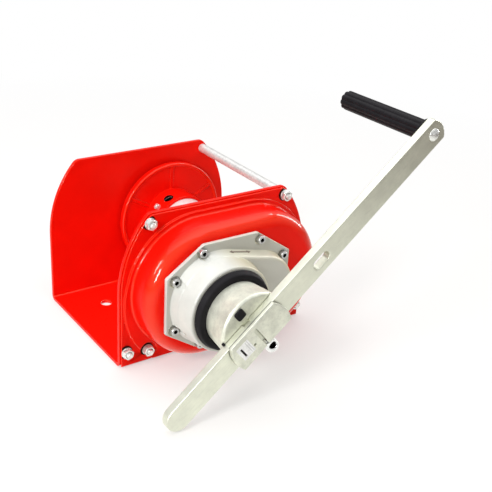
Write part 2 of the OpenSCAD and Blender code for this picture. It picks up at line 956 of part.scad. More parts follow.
module pinion_shaft() {
    thrust_d = pinion_shaft_d + 2 * thrust_rise;
    back_thrust_y = front_out_y - bush_out - run_gap;
    color(steel)
        difference() {
            union() {
                rod(shaft_x, axis_z, pinion_shaft_d, end_seat_y, front_in_y + cut);
                rod(shaft_x, axis_z, end_thread_d, end_nut_y - end_nut_t - cut, end_seat_y + cut);
                along_y(gear_front_y - pinion_over, gear_back_y + pinion_over)
                    translate([shaft_x, axis_z])
                        polygon(gear_points(pinion_teeth, 180 / pinion_teeth));
                rod(shaft_x, axis_z, thrust_d, gear_back_y + pinion_over / 2, back_thrust_y);
                rod(shaft_x, axis_z, thrust_d, plate_boss_y + run_gap, gear_front_y - pinion_over / 2);
            }
            shaft_key_block(fit);
        }
}

module brake_disc() {
    color(steel)
        difference() {
            rod(shaft_x, axis_z, ratchet_d, disc_front_y, disc_back_y);
            rod(shaft_x, axis_z, pinion_shaft_d + 2 * fit, disc_front_y - cut, disc_back_y + cut);
            shaft_key_block(fit);
        }
}

module brake_disc_key() {
    color(steel)
        shaft_key_block(0);
}

sleeve_d = pinion_shaft_d + 2 * bush_sleeve_t;

module lining_ring(y0) {
    color(lining)
        ring(shaft_x, axis_z, 2 * lining_r, sleeve_d + 2 * fit, y0, y0 + lining_t);
}

module friction_disc_rear() {
    lining_ring(disc_front_y - lining_t);
}

module friction_disc_front() {
    lining_ring(hub_back_y);
}

module ratchet_bush() {
    color(bronze)
        ring(shaft_x, axis_z, sleeve_d, pinion_shaft_d + 2 * fit, hub_back_y + face, disc_front_y);
}

// Teeth with a radial face and a ramp that rises steadily from root to tip.
ramp_steps = 6;
function ratchet_points() =
    [for (i = [0:ratchet_teeth - 1], k = [0:ramp_steps])
        polar(root_r + ratchet_tooth_h * k / ramp_steps,
            pawl_angle + 360 / ratchet_teeth * (i + k / ramp_steps))];

module ratchet_wheel() {
    color(steel)
        difference() {
            along_y(ratchet_front_y, ratchet_back_y)
                translate([shaft_x, axis_z])
                    polygon(ratchet_points());
            rod(shaft_x, axis_z, sleeve_d + 2 * fit, ratchet_front_y - cut, ratchet_back_y + cut);
        }
}

module at_pawl(side) {
    translate([shaft_x, 0, axis_z])
        rotate([0, -pawl_angle - side, 0])
            children();
}

module rod_at_pawl(side, d, y0, y1) {
    at_pawl(side)
        rod(pawl_pivot.x, pawl_pivot.y, d, y0, y1);
}

module pawl_outline() {
    nose = [pawl_nose_r, pawl_gap];
    reach = (pawl_pivot - nose) / norm(pawl_pivot - nose);
    across = pawl_eye_r * [-reach.y, reach.x];
    translate(pawl_pivot)
        circle(r = pawl_eye_r);
    polygon([nose, nose + [pawl_nose_h, 0], pawl_pivot - across, pawl_pivot + across]);
}

module pawl(side) {
    color(steel)
        at_pawl(side)
            difference() {
                along_y(pawl_front_y, pawl_back_y)
                    pawl_outline();
                rod(pawl_pivot.x, pawl_pivot.y, pawl_pin_d + 2 * fit, pawl_front_y - cut, pawl_back_y + cut);
            }
}

module pawl_upper() {
    pawl(0);
}

module pawl_lower() {
    pawl(180);
}

module pawl_pins() {
    head_y = pawl_front_y - face;
    color(steel)
        for (side = [0, 180]) {
            rod_at_pawl(side, pawl_pin_d, head_y - pawl_head_t, dome_y);
            rod_at_pawl(side, pawl_pin_d + 2, head_y - pawl_head_t, head_y);
        }
}

module pawl_springs() {
    color(zinc)
        for (side = [0, 180])
            difference() {
                rod_at_pawl(side, pawl_pin_d + 2 * (spring_wall + fit), plate_y - disc_t, plate_y);
                rod_at_pawl(side, pawl_pin_d + 2 * fit, plate_y - disc_t - cut, plate_y + cut);
            }
}

// ---------- crank hub ----------

// Round barrel of the hub: a straight neck inside the seal, flared to a chamfered rim.
module hub_section() {
    polygon([
        [0, hub_back_y], [hub_neck_r, hub_back_y], [hub_neck_r, seal_front_y],
        [hub_r, hub_face_y + rim_chamfer], [hub_r - rim_chamfer, hub_face_y], [0, hub_face_y]
    ]);
}

// Round envelope of the jaw in front of the hub's face.
module jaw_section() {
    polygon([
        [0, hub_face_y + rim_chamfer], [jaw_r, hub_face_y + rim_chamfer], [jaw_r, jaw_front_y + jaw_round],
        [jaw_r - jaw_round, jaw_front_y], [0, jaw_front_y]
    ]);
    translate([jaw_r - jaw_round, jaw_front_y + jaw_round])
        circle(r = jaw_round);
}

slot_low = bar_low - face;

// Side view of the barrel in [z, y], with the bar's seat across its face.
module barrel_profile() {
    polygon([
        [-hub_r - cut, hub_back_y + cut], [hub_r + cut, hub_back_y + cut], [hub_r + cut, hub_face_y - cut],
        [bar_top + face, hub_face_y - cut], [bar_top + face, seat_y], [slot_low, seat_y],
        [slot_low, hub_face_y - cut], [web_low, hub_face_y - cut], [web_low, block_y], [-hub_r - cut, block_y]
    ]);
}

// Side view in [z, y] of the jaw that reaches over the bar.
module jaw_profile() {
    root_y = hub_face_y + rim_chamfer + cut;
    jaw_top = bar_top + jaw_lip;
    polygon([
        [web_low, root_y], [slot_low, root_y], [slot_low, jaw_back_y], [jaw_top, jaw_back_y],
        [jaw_top, jaw_front_y + jaw_round], [jaw_top - jaw_round, jaw_front_y],
        [web_low + jaw_round, jaw_front_y], [web_low, jaw_front_y + jaw_round]
    ]);
}

module handle_hub() {
    reach = hub_r + cut;
    color(zinc)
        on_crank()
            difference() {
                union() {
                    intersection() {
                        lathe(0, 0)
                            hub_section();
                        along_x(-reach, reach)
                            barrel_profile();
                    }
                    intersection() {
                        lathe(jaw_x, 0)
                            jaw_section();
                        along_x(-reach, reach)
                            jaw_profile();
                    }
                }
                rod(0, 0, pinion_shaft_d + 2 * fit, hub_bore_end_y - cut, hub_back_y + cut);
                rod(0, 0, 2 * end_recess_r, bar_back_y, hub_bore_end_y);
                rod(pin_hole_x, pin_hole_z, pin_hole_d, jaw_front_y - cut, jaw_back_y + face);
                cross_rod(0, clamp_y, clamp_d + 2 * fit, web_low - cut, bar_low + cut);
                translate([slit_x - slit_w / 2, jaw_front_y - cut, web_low - cut])
                    cube([slit_w, jaw_t + cut + face, slit_len + cut]);
                rod(lock_x, lock_z, lock_shank_d + 2 * fit, hub_face_y - cut, block_y);
            }
}

module hub_lock_screw() {
    color(black)
        on_crank() {
            translate([lock_x - lock_s / 2, hub_face_y - lock_h, lock_z - lock_s / 2])
                cube([lock_s, lock_h, lock_s]);
            rod(lock_x, lock_z, lock_shank_d, hub_face_y - cut, block_y - cut);
        }
}

seal_back_y = nose_y - run_gap;
seal_front_y = seal_back_y - seal_len;

module dust_seal() {
    in_r = hub_neck_r + fit;
    out_r = hub_neck_r + seal_wall;
    round_r = out_r - seal_taper - seal_round;
    round_y = seal_front_y + seal_round;
    color(black)
        lathe(shaft_x, axis_z)
            polygon(concat(
                [[in_r, seal_front_y], [in_r, seal_back_y], [out_r, seal_back_y]],
                [for (a = [0:15:90]) [round_r, round_y] + polar(seal_round, -a)]
            ));
}

module shaft_end_washer() {
    color(zinc)
        ring(shaft_x, axis_z, washer_d(end_thread_d), end_thread_d + 2 * fit, end_nut_y, end_seat_y);
}

module shaft_end_nut() {
    color(zinc)
        difference() {
            hex_rod(shaft_x, axis_z, hex_flats(end_thread_d), end_nut_y - end_nut_t, end_nut_y);
            rod(shaft_x, axis_z, end_thread_d + 2 * fit, end_nut_y - end_nut_t - cut, end_nut_y + cut);
        }
}

module clamp_screw() {
    head_z = web_low - clamp_head_gap;
    color(zinc)
        on_crank()
            difference() {
                union() {
                    cross_rod(0, clamp_y, clamp_d, head_z - cut, bar_low - clamp_tip_gap);
                    cross_rod(0, clamp_y, clamp_head_d, head_z - clamp_head_h, head_z);
                }
                rod(0, head_z - clamp_hole_h, clamp_hole_d, clamp_y - clamp_head_d, clamp_y + clamp_head_d);
            }
}

// ---------- crank bar and grip ----------

module bar_outline() {
    end_x = arm_len + bar_end;
    intersection() {
        translate([-tail_len, bar_low])
            square([tail_len + end_x, bar_w]);
        union() {
            translate([bar_w / 2 - tail_len, bar_offset])
                circle(d = bar_w);
            translate([bar_w / 2 - tail_len, bar_low])
                square([tail_len - bar_w / 2 + end_x - bar_end_r, bar_w]);
            translate([end_x - bar_end_r, bar_offset])
                circle(r = bar_end_r);
        }
    }
}

module slot_outline() {
    half = (slot_len - slot_w) / 2;
    for (side = [-1, 1])
        translate([slot_x + side * half, bar_offset])
            circle(d = slot_w);
    translate([slot_x - half, bar_offset - slot_w / 2])
        square([2 * half, slot_w]);
}

module crank_bar() {
    color(zinc)
        on_crank()
            difference() {
                along_y(bar_front_y, bar_back_y)
                    difference() {
                        bar_outline();
                        slot_outline();
                    }
                rod(arm_len, bar_offset, spindle_d + 2 * fit, bar_front_y - cut, bar_back_y + cut);
                translate([notch_x - notch_l / 2, bar_back_y - notch_t, bar_top - notch_h])
                    cube([notch_l, notch_t + cut, notch_h + cut]);
            }
}

module grip_collar() {
    color(black)
        on_crank()
            ring(arm_len, bar_offset, collar_d, spindle_d + 2 * fit, bar_back_y, bar_back_y + collar_t);
}

spindle_head_d = 1.4 * spindle_d;
spindle_end_y = grip_end_y - grip_pocket + run_gap;

module grip_spindle() {
    cap_r = (pow(rivet_d / 2, 2) + pow(rivet_h, 2)) / (2 * rivet_h);
    color(zinc)
        on_crank() {
            rod(arm_len, bar_offset, spindle_d, bar_front_y - cut, spindle_end_y + cut);
            rod(arm_len, bar_offset, spindle_head_d, spindle_end_y, spindle_end_y + spindle_head_t);
            lathe(arm_len, bar_offset)
                intersection() {
                    translate([0, bar_front_y + cap_r - rivet_h])
                        circle(r = cap_r);
                    translate([0, bar_front_y - rivet_h])
                        square([rivet_d, rivet_h]);
                }
        }
}

module grip() {
    reach = grip_d / 2 - lobe_r;
    color(black)
        on_crank()
            difference() {
                along_y(grip_back_y, grip_end_y)
                    translate([arm_len, bar_offset]) {
                        circle(r = reach + 1);
                        for (i = [0:grip_lobes - 1])
                            translate(polar(reach, 360 / grip_lobes * i))
                                circle(r = lobe_r);
                    }
                rod(arm_len, bar_offset, spindle_d + 2 * fit, grip_back_y - cut, grip_end_y + cut);
                rod(arm_len, bar_offset, spindle_head_d + 2 * run_gap, grip_end_y - grip_pocket,
                    grip_end_y + cut);
            }
}

frame();
gear_cover();
cover_bolts();
cover_nuts();
cover_washers();
tie_rod();
tie_rod_nuts();
tie_rod_washers();
brake_housing();
housing_screws();
bearing_plate();
drum_bush_rear();
drum_bush_front();
pinion_bush_rear();
pinion_bush_front();
drum_flange_rear();
drum_barrel();
drum_flange_front();
drum_shaft();
drum_keys();
drum_circlips();
rope_clamp_screw();
main_gear();
pinion_shaft();
brake_disc();
brake_disc_key();
friction_disc_rear();
ratchet_wheel();
ratchet_bush();
friction_disc_front();
pawl_upper();
pawl_lower();
pawl_pins();
pawl_springs();
handle_hub();
hub_lock_screw();
dust_seal();
shaft_end_washer();
shaft_end_nut();
clamp_screw();
crank_bar();
grip_collar();
grip_spindle();
grip();
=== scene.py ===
"""Finished surfaces, rounded edges and fasteners of a hand-cranked brake winch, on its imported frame."""

import json
import math

import bmesh
import bpy
from mathutils import Matrix, Vector

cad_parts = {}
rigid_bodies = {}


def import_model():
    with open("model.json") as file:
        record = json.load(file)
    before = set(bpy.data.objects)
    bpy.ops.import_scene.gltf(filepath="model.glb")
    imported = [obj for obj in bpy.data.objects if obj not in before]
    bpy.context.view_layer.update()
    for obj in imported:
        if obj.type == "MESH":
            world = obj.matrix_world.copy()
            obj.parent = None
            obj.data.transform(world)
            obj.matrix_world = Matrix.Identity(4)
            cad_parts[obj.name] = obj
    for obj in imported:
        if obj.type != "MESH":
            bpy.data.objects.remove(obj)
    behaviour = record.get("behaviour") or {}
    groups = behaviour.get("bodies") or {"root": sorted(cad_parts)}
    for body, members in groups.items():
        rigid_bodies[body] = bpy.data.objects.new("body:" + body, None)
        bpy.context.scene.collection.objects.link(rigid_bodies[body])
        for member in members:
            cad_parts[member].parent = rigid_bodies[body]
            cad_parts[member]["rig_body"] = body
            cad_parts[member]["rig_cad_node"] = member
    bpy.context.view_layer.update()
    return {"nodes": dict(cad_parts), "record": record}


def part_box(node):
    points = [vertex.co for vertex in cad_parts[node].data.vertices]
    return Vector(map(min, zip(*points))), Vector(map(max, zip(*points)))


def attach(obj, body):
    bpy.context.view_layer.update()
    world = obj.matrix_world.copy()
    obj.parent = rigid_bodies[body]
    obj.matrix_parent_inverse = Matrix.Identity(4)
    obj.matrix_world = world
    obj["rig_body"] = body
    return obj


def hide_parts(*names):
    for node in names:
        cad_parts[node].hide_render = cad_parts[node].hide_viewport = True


bl_info = {
    "name": "Brake winch dressing",
    "version": (1, 0, 0),
    "blender": (4, 5, 0),
    "location": "3D View > Sidebar > Winch",
    "description": "Builds the visible surfaces, fasteners, finishes and studio of a hand winch",
    "category": "Object",
}

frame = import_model()
BODY = {node: body for body, nodes in frame["record"]["behaviour"]["bodies"].items() for node in nodes}
SLOT = {row["node"]: row["material_slot"] for row in frame["record"]["subparts"]}
JOINT = {row["name"]: row for row in frame["record"]["behaviour"]["joints"]}

MM = 0.001  # metres in a millimetre
PER_METRE = 1000  # millimetres in a metre
WELD = 1e-6  # metres: points nearer than this are one
CUT = 1e-7  # metres: how near a bisecting plane takes a point as its own
COPLANAR = 0.4  # degrees: faces that turn less than this are one flat face
SHARP = 30  # degrees: an edge that turns more than this is rounded
CRISP = 38  # degrees: an edge that turns more than this stays crisp in the shading
FULL_TURN = 2 * math.pi

SHAFT = Vector(JOINT["shaft_spin"]["pos_m"]) / MM
DRUM = Vector(JOINT["drum_spin"]["pos_m"]) / MM
ALONG_BAR = Vector(JOINT["bar_slide"]["axis"])
ACROSS_BAR = Vector((-ALONG_BAR.z, 0, ALONG_BAR.x))
BAR_SLOPE = math.atan2(ALONG_BAR.z, ALONG_BAR.x)
BAR_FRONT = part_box("crank_bar")[0].y / MM


# ---------- settings ----------


class WinchSizes(bpy.types.PropertyGroup):
    """Edge radii and fastener details."""

    sheet_edge: bpy.props.FloatProperty(
        name="Sheet edge", description="Rounding of the painted sheet's edges, in mm",
        default=0.7, min=0.1, max=1.5)
    press_edge: bpy.props.FloatProperty(
        name="Press edge", description="Rounding of the pressed cover's steps and rim, in mm",
        default=0.8, min=0.1, max=0.95)
    casting_edge: bpy.props.FloatProperty(
        name="Casting edge", description="Rounding of the housing's cast edges, in mm",
        default=0.9, min=0.1, max=1.5)
    hub_edge: bpy.props.FloatProperty(
        name="Hub edge", description="Rounding of the crank hub's edges, in mm",
        default=0.7, min=0.1, max=1.0)
    bar_edge: bpy.props.FloatProperty(
        name="Bar edge", description="Rounding of the crank bar's rolled edges, in mm",
        default=1.0, min=0.1, max=2.0)
    thread_pitch: bpy.props.FloatProperty(
        name="Thread pitch", description="Pitch of the threads on studs and tie rod, in mm",
        default=1.0, min=0.5, max=2.0)
    mark_height: bpy.props.FloatProperty(
        name="Arrow height", description="How far the arrow on the housing stands up, in mm",
        default=0.5, min=0.1, max=1.0)


class WinchColours(bpy.types.PropertyGroup):
    """Main colours of the finishes."""

    red: bpy.props.FloatVectorProperty(
        name="Red paint", description="Gloss paint of frame, cover and drum flanges",
        subtype="COLOR", default=(0.90, 0.006, 0.002))
    casting: bpy.props.FloatVectorProperty(
        name="Casting", description="Silver-white coat of the brake housing",
        subtype="COLOR", default=(0.70, 0.705, 0.66))
    zinc: bpy.props.FloatVectorProperty(
        name="Zinc", description="Plating of hub and bar",
        subtype="COLOR", default=(0.77, 0.78, 0.67))
    rubber: bpy.props.FloatVectorProperty(
        name="Rubber", description="Seal ring",
        subtype="COLOR", default=(0.011, 0.010, 0.012))
    floor: bpy.props.FloatVectorProperty(
        name="Floor", description="Paper under the winch",
        subtype="COLOR", default=(0.92, 0.90, 0.875))


class WinchStage(bpy.types.PropertyGroup):
    """Camera and lamps."""

    azimuth: bpy.props.FloatProperty(
        name="Azimuth", description="Camera's side angle, in degrees", default=-36.15183267)
    elevation: bpy.props.FloatProperty(
        name="Elevation", description="Camera's height angle, in degrees", default=25.34410713)
    roll: bpy.props.FloatProperty(
        name="Roll", description="Camera's roll, in degrees", default=-3.56403127)
    lens: bpy.props.FloatProperty(
        name="Lens", description="Focal length in mm, on a 36 mm sensor", default=64.6142)
    key_power: bpy.props.FloatProperty(
        name="Key", description="Power of the left softbox", subtype="POWER", default=15.0)
    top_power: bpy.props.FloatProperty(
        name="Top", description="Power of the overhead softbox", subtype="POWER", default=33.0)
    rim_power: bpy.props.FloatProperty(
        name="Rim", description="Power of the right softbox", subtype="POWER", default=2.2)
    strip_power: bpy.props.FloatProperty(
        name="Strip", description="Power of each strip light that glints on paint and metal",
        subtype="POWER", default=14.0)


# ---------- modelling helpers ----------


def only(*pieces):
    """Selects these objects alone; the last one is active."""
    bpy.ops.object.select_all(action="DESELECT")
    for piece in pieces:
        piece.select_set(True)
    bpy.context.view_layer.objects.active = pieces[-1]


def newest(name):
    """Names the object that an operator has just added."""
    piece = bpy.context.view_layer.objects.active
    piece.name = name
    piece.data.name = name
    return piece


def fixed(piece):
    """Puts an object's place into its mesh."""
    only(piece)
    bpy.ops.object.transform_apply(location=True, rotation=True, scale=True)
    return piece


def pick(piece, kind, test):
    """In edit mode, selects the edges or vertices that pass a test."""
    bpy.ops.mesh.select_mode(type=kind)
    bpy.ops.mesh.select_all(action="DESELECT")
    mesh = bmesh.from_edit_mesh(piece.data)
    for part in {"EDGE": mesh.edges, "VERT": mesh.verts}[kind]:
        if test(part):
            part.select_set(True)
    mesh.select_flush_mode()
    bmesh.update_edit_mesh(piece.data)


def depth_of(edge):
    """How far an edge runs along Y, in metres."""
    return abs(edge.verts[0].co.y - edge.verts[1].co.y)


def skin(node, name):
    """A merged copy of a CAD node's surface, ready to have its edges rounded."""
    only(frame["nodes"][node])
    bpy.ops.object.duplicate()
    piece = newest(name)
    bpy.ops.object.parent_clear(type="CLEAR_KEEP_TRANSFORM")
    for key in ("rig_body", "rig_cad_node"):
        del piece[key]
    piece.data.materials.clear()
    bpy.ops.object.mode_set(mode="EDIT")
    bpy.ops.mesh.select_all(action="SELECT")
    bpy.ops.mesh.remove_doubles(threshold=WELD)
    bpy.ops.mesh.dissolve_limited(angle_limit=math.radians(COPLANAR))
    bpy.ops.mesh.customdata_custom_splitnormals_clear()
    bpy.ops.object.mode_set(mode="OBJECT")
    return piece


def modify(piece, kind, **settings):
    """Adds a modifier with these settings and applies it."""
    only(piece)
    bpy.ops.object.modifier_add(type=kind)
    change = piece.modifiers[-1]
    for name, value in settings.items():
        setattr(change, name, value)
    bpy.ops.object.modifier_apply(modifier=change.name)
    return piece


def shaded(piece, smooth=CRISP):
    """Shades a piece smooth with its flat faces kept flat."""
    only(piece)
    bpy.ops.object.shade_smooth_by_angle(angle=math.radians(smooth))
    return modify(piece, "WEIGHTED_NORMAL", keep_sharp=True)


def round_edges(piece, width, segments=2, angle=SHARP, smooth=CRISP):
    """Rounds the sharp edges by width mm and shades the piece."""
    modify(piece, "BEVEL", width=width * MM, segments=segments, limit_method="ANGLE",
           angle_limit=math.radians(angle), use_clamp_overlap=False, miter_outer="MITER_ARC")
    return shaded(piece, smooth)


def round_rims(piece, width):
    """Rounds only the sharp edges that lie square to Y, by width mm, and shades the piece."""
    only(piece)
    bpy.ops.object.mode_set(mode="EDIT")
    bpy.ops.mesh.select_all(action="SELECT")
    bpy.ops.mesh.quads_convert_to_tris(quad_method="BEAUTY", ngon_method="BEAUTY")
    pick(piece, "EDGE", lambda edge: len(edge.link_faces) == 2
         and edge.calc_face_angle() > math.radians(SHARP) and depth_of(edge) < WELD)
    bpy.ops.mesh.bevel(offset=width * MM, segments=3, affect="EDGES", clamp_overlap=False, miter_outer="ARC")
    bpy.ops.object.mode_set(mode="OBJECT")
    return shaded(piece)


def on_crank(spot):
    """A place in mm as the crank sees it: X along the bar, Z across it, from the shaft's axis."""
    spot = spot - SHAFT
    return Vector((spot.dot(ALONG_BAR), spot.y, spot.dot(ACROSS_BAR)))


def from_crank(along, across):
    """A place in mm, on the shaft's own depth, that lies this far along and across the bar."""
    return SHAFT + ALONG_BAR * along + ACROSS_BAR * across


def mark_painted_shade(piece, test):
    """Marks the faces whose middle, in mm, passes a test, for finishes that paint shade on them: in holes,
    bores, sockets and the gap beside the bar.
    """
    painted_shade = piece.data.attributes.new("painted_shade", "FLOAT", "FACE")
    for face, mark in zip(piece.data.polygons, painted_shade.data):
        mark.value = float(test(face.center / MM))
    return piece


def carve(piece, tool, operation="DIFFERENCE"):
    """Cuts a piece with another one, which is then gone."""
    modify(piece, "BOOLEAN", object=tool, operation=operation, solver="EXACT")
    bpy.data.objects.remove(tool)
    return piece


def turned(name, outline, x=0.0, z=0.0, steps=72):
    """Spins a closed [radius, y] outline, in mm, round an axis along Y through x, z."""
    bpy.ops.mesh.primitive_circle_add(vertices=len(outline), radius=MM)
    piece = newest(name)
    for vertex, (radius, y) in zip(piece.data.vertices, outline):
        vertex.co = Vector((x + radius, y, z)) * MM
    bpy.ops.object.mode_set(mode="EDIT")
    bpy.ops.mesh.select_all(action="SELECT")
    bpy.ops.mesh.spin(steps=steps, angle=FULL_TURN, center=(x * MM, 0, z * MM), axis=(0, 1, 0))
    bpy.ops.mesh.select_all(action="SELECT")
    bpy.ops.mesh.remove_doubles(threshold=WELD)
    bpy.ops.mesh.delete_loose()
    bpy.ops.mesh.select_all(action="SELECT")
    bpy.ops.mesh.normals_make_consistent(inside=False)
    bpy.ops.object.mode_set(mode="OBJECT")
    return piece


def hexagon(name, flats, y0, y1):
    """A six-sided prism along Y between y0 and y1, with a corner on top, in mm."""
    bpy.ops.mesh.primitive_cylinder_add(
        vertices=6, radius=flats / math.sqrt(3) * MM, depth=(y1 - y0) * MM,
        location=(0, (y0 + y1) / 2 * MM, 0), rotation=(math.pi / 2, 0, 0))
    return fixed(newest(name))


def shells(node):
    """Lowest and highest corner, in mm, of each separate solid of a CAD node."""
    mesh = bmesh.new()
    mesh.from_mesh(frame["nodes"][node].data)
    bmesh.ops.remove_doubles(mesh, verts=mesh.verts, dist=WELD)
    left, found = set(mesh.verts), []
    while left:
        reach, group = [left.pop()], []
        while reach:
            vertex = reach.pop()
            group.append(vertex.co / MM)
            for edge in vertex.link_edges:
                other = edge.other_vert(vertex)
                if other in left:
                    left.remove(other)
                    reach.append(other)
        found.append((Vector(map(min, zip(*group))), Vector(map(max, zip(*group)))))
    mesh.free()
    return sorted(found, key=lambda box: tuple(box[0]))


def centre(low, high):
    """X and Z of the middle of a box."""
    return (low.x + high.x) / 2, (low.z + high.z) / 2


def round_box(node):
    """X and Z of the axis, the radius and both ends in Y, in mm, of a round CAD node."""
    low, high = (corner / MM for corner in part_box(node))
    return *centre(low, high), (high.x - low.x) / 2, low.y, high.y


def set_out(template, name, spots):
    """Copies a template to spots (x, y, z, turn about Y in degrees, facing +Y) and joins the copies."""
    copies = []
    for x, y, z, turn, rear in spots:
        only(template)
        bpy.ops.object.duplicate()
        copy = newest(name + "_copy")
        about = Matrix.Rotation(math.radians(turn), 4, "Y")
        if rear:
            about = Matrix.Rotation(math.pi, 4, "Z") @ about
        copy.matrix_world = Matrix.Translation(Vector((x, y, z)) * MM) @ about
        copies.append(fixed(copy))
    bpy.data.objects.remove(template)
    only(*copies)
    if len(copies) > 1:
        bpy.ops.object.join()
    return newest(name)


def clothe(piece, slot):
    """Gives a piece the finish of a slot, and nothing else."""
    piece.data.materials.clear()
    piece.data.materials.append(bpy.data.materials[slot + "_finish"])


def finish_piece(piece, node):
    """Gives a piece the finish of its CAD node's slot and that node's body, and hides the CAD node it stands
    for.
    """
    clothe(piece, SLOT[node])
    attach(piece, BODY[node])
    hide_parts(node)
    return piece


def add_to(node, piece, slot):
    """Gives an extra piece the finish of a slot, and lets it ride on the body of a CAD node."""
    clothe(piece, slot)
    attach(piece, BODY[node])


# ---------- finishes ----------


def connect(tree, entry, term):
    """Links a Value to a socket, or writes a plain number or colour into it."""
    if isinstance(term, Value):
        tree.links.new(term.socket, entry)
    elif isinstance(term, (tuple, list)) and entry.type == "RGBA":
        entry.default_value = (*term[:3], 1.0)
    else:
        entry.default_value = term


class Value:
    """A socket whose arithmetic adds Math nodes."""

    def __init__(self, tree, socket):
        self.tree = tree
        self.socket = socket

    def maths(self, operation, *terms, clamp=False):
        """A Math node on these terms."""
        node = self.tree.nodes.new("ShaderNodeMath")
        node.operation = operation
        node.use_clamp = clamp
        for entry, term in zip(node.inputs, terms):
            connect(self.tree, entry, term)
        return Value(self.tree, node.outputs[0])

    def __add__(self, other):
        return self.maths("ADD", self, other)

    def __radd__(self, other):
        return self.maths("ADD", other, self)

    def __sub__(self, other):
        return self.maths("SUBTRACT", self, other)

    def __rsub__(self, other):
        return self.maths("SUBTRACT", other, self)

    def __mul__(self, other):
        return self.maths("MULTIPLY", self, other)

    def __rmul__(self, other):
        return self.maths("MULTIPLY", other, self)

    def __pow__(self, other):
        return self.maths("POWER", self, other)

    def clear_of(self, low, high):
        """0 below low, 1 above high, and even between."""
        return self.maths("MULTIPLY", self - low, 1 / (high - low), clamp=True)

    def most(self, other):
        """The greater of two."""
        return self.maths("MAXIMUM", self, other)

    def least(self, other):
        """The smaller of two."""
        return self.maths("MINIMUM", self, other)


class Finish:
    """A material under construction, with its textures in millimetres."""

    # near-black colour of the painted shade in holes, bores, sockets and gaps
    PAINTED_SHADE = (0.006, 0.006, 0.007)

    def __init__(self, name):
        self.material = bpy.data.materials.new(name + "_finish")
        self.material.use_nodes = True
        self.tree = self.material.node_tree
        self.tree.nodes.clear()
        self.place = self.node("ShaderNodeTexCoord", out="Object")

    def node(self, kind, inputs=None, out=0, **settings):
        """Any node: its settings are made first, then its sockets are filled."""
        node = self.tree.nodes.new(kind)
        for name, value in settings.items():
            setattr(node, name, value)
        for name, term in (inputs or {}).items():
            connect(self.tree, node.inputs[name], term)
        return Value(self.tree, node.outputs[out]) if node.outputs else None

    def facing(self):
        """The surface's own direction on the piece."""
        return self.node("ShaderNodeTexCoord", out="Normal")

    def axis(self, vector, name):
        """One axis of a vector."""
        return self.node("ShaderNodeSeparateXYZ", {"Vector": vector}, out=name)

    def noise(self, size, detail=2.0, roughness=0.5, place=None):
        """Noise whose lumps are about size mm across."""
        return self.node("ShaderNodeTexNoise", {
            "Vector": place or self.place, "Scale": 1 / (size * MM),
            "Detail": detail, "Roughness": roughness})

    def cells(self, size):
        """Distance from the middles of cells about size mm across."""
        return self.node("ShaderNodeTexVoronoi", {
            "Vector": self.place, "Scale": 1 / (size * MM)}, out="Distance")

    def blend(self, factor, first, second):
        """A colour between two colours."""
        node = self.tree.nodes.new("ShaderNodeMix")
        node.data_type = "RGBA"
        for index, term in ((0, factor), (6, first), (7, second)):
            connect(self.tree, node.inputs[index], term)
        return Value(self.tree, node.outputs[2])

    def shaders(self, factor, first, second):
        """A shader between two shaders."""
        return self.node("ShaderNodeMixShader", {0: factor, 1: first, 2: second})

    def with_painted_shade(self, colour):
        """A colour that turns almost black, as painted shade, where a piece is marked for it."""
        painted_shade = self.node("ShaderNodeAttribute", out="Fac", attribute_name="painted_shade")
        return self.blend(painted_shade, colour, self.PAINTED_SHADE)

    def relief(self, height, strength, depth):
        """A normal bent by a height that swings over depth mm."""
        return self.node("ShaderNodeBump", {"Height": height, "Strength": strength, "Distance": depth * MM})

    def coat(self, **inputs):
        """The Principled shader and the output, with sockets named in snake case."""
        shader = self.node("ShaderNodeBsdfPrincipled", {
            name.replace("_", " ").title().replace("Ior", "IOR"): term for name, term in inputs.items()})
        self.node("ShaderNodeOutputMaterial", {"Surface": shader})


def shade(colour, factor):
    """A colour made lighter or darker."""
    return tuple(min(1.0, channel * factor) for channel in colour)


def red_paint(name, colours):
    """Gloss paint: faint orange peel, uneven depth, a painted orange sheen on bends and a painted shadow
    beside the nuts.
    """
    paint = Finish(name)
    drift = paint.noise(34, detail=3)
    dust = paint.noise(2.2, detail=4, roughness=0.65)
    peel = paint.noise(1.6, detail=1)
    colour = paint.blend(drift.clear_of(0.35, 0.7), shade(colours.red, 0.95), shade(colours.red, 1.04))
    ahead = paint.axis(paint.facing(), "Y") ** 2
    bent = ahead * (1 - ahead)
    # painted sheen: faces between square to Y and turned aside get a lighter orange red
    colour = paint.blend(bent * 4, colour, (colours.red[0], 0.030, 0.008))
    shadow = nut_shadow(paint) * ahead.clear_of(0.8, 0.95)
    colour = paint.blend(shadow, colour, (0.012, 0.002, 0.002))
    paint.coat(base_color=paint.with_painted_shade(colour), roughness=0.24 + dust * 0.10, specular_ior_level=0.12,
               specular_tint=(1.0, 0.42, 0.2), coat_weight=0.02 + bent * 2.2, coat_roughness=0.07,
               normal=paint.relief(peel, 0.10, 0.12))


def nut_shadow(paint):
    """1 on the cover's front rim close to a nut, a little to its upper left, and 0 elsewhere."""
    shift_x, shift_z, inside, outside, rim_start, rim_depth = -0.8, 0.7, 6.6, 7.6, 82.0, 82.6
    flat = paint.node("ShaderNodeVectorMath", {0: paint.place, 1: (1.0, 0.0, 1.0)}, operation="MULTIPLY")
    gap = 1.0
    for box in shells("cover_nuts") + shells("tie_rod_nuts"):
        x, z = centre(*box)
        spot = Vector((x + shift_x, 0, z + shift_z)) * MM
        away = paint.node("ShaderNodeVectorMath", {0: flat, 1: spot}, out="Value", operation="DISTANCE")
        gap = away.least(gap)
    close = 1 - (gap * PER_METRE).clear_of(inside, outside)
    return close * (paint.axis(paint.place, "Y") * -PER_METRE).clear_of(rim_start, rim_depth)


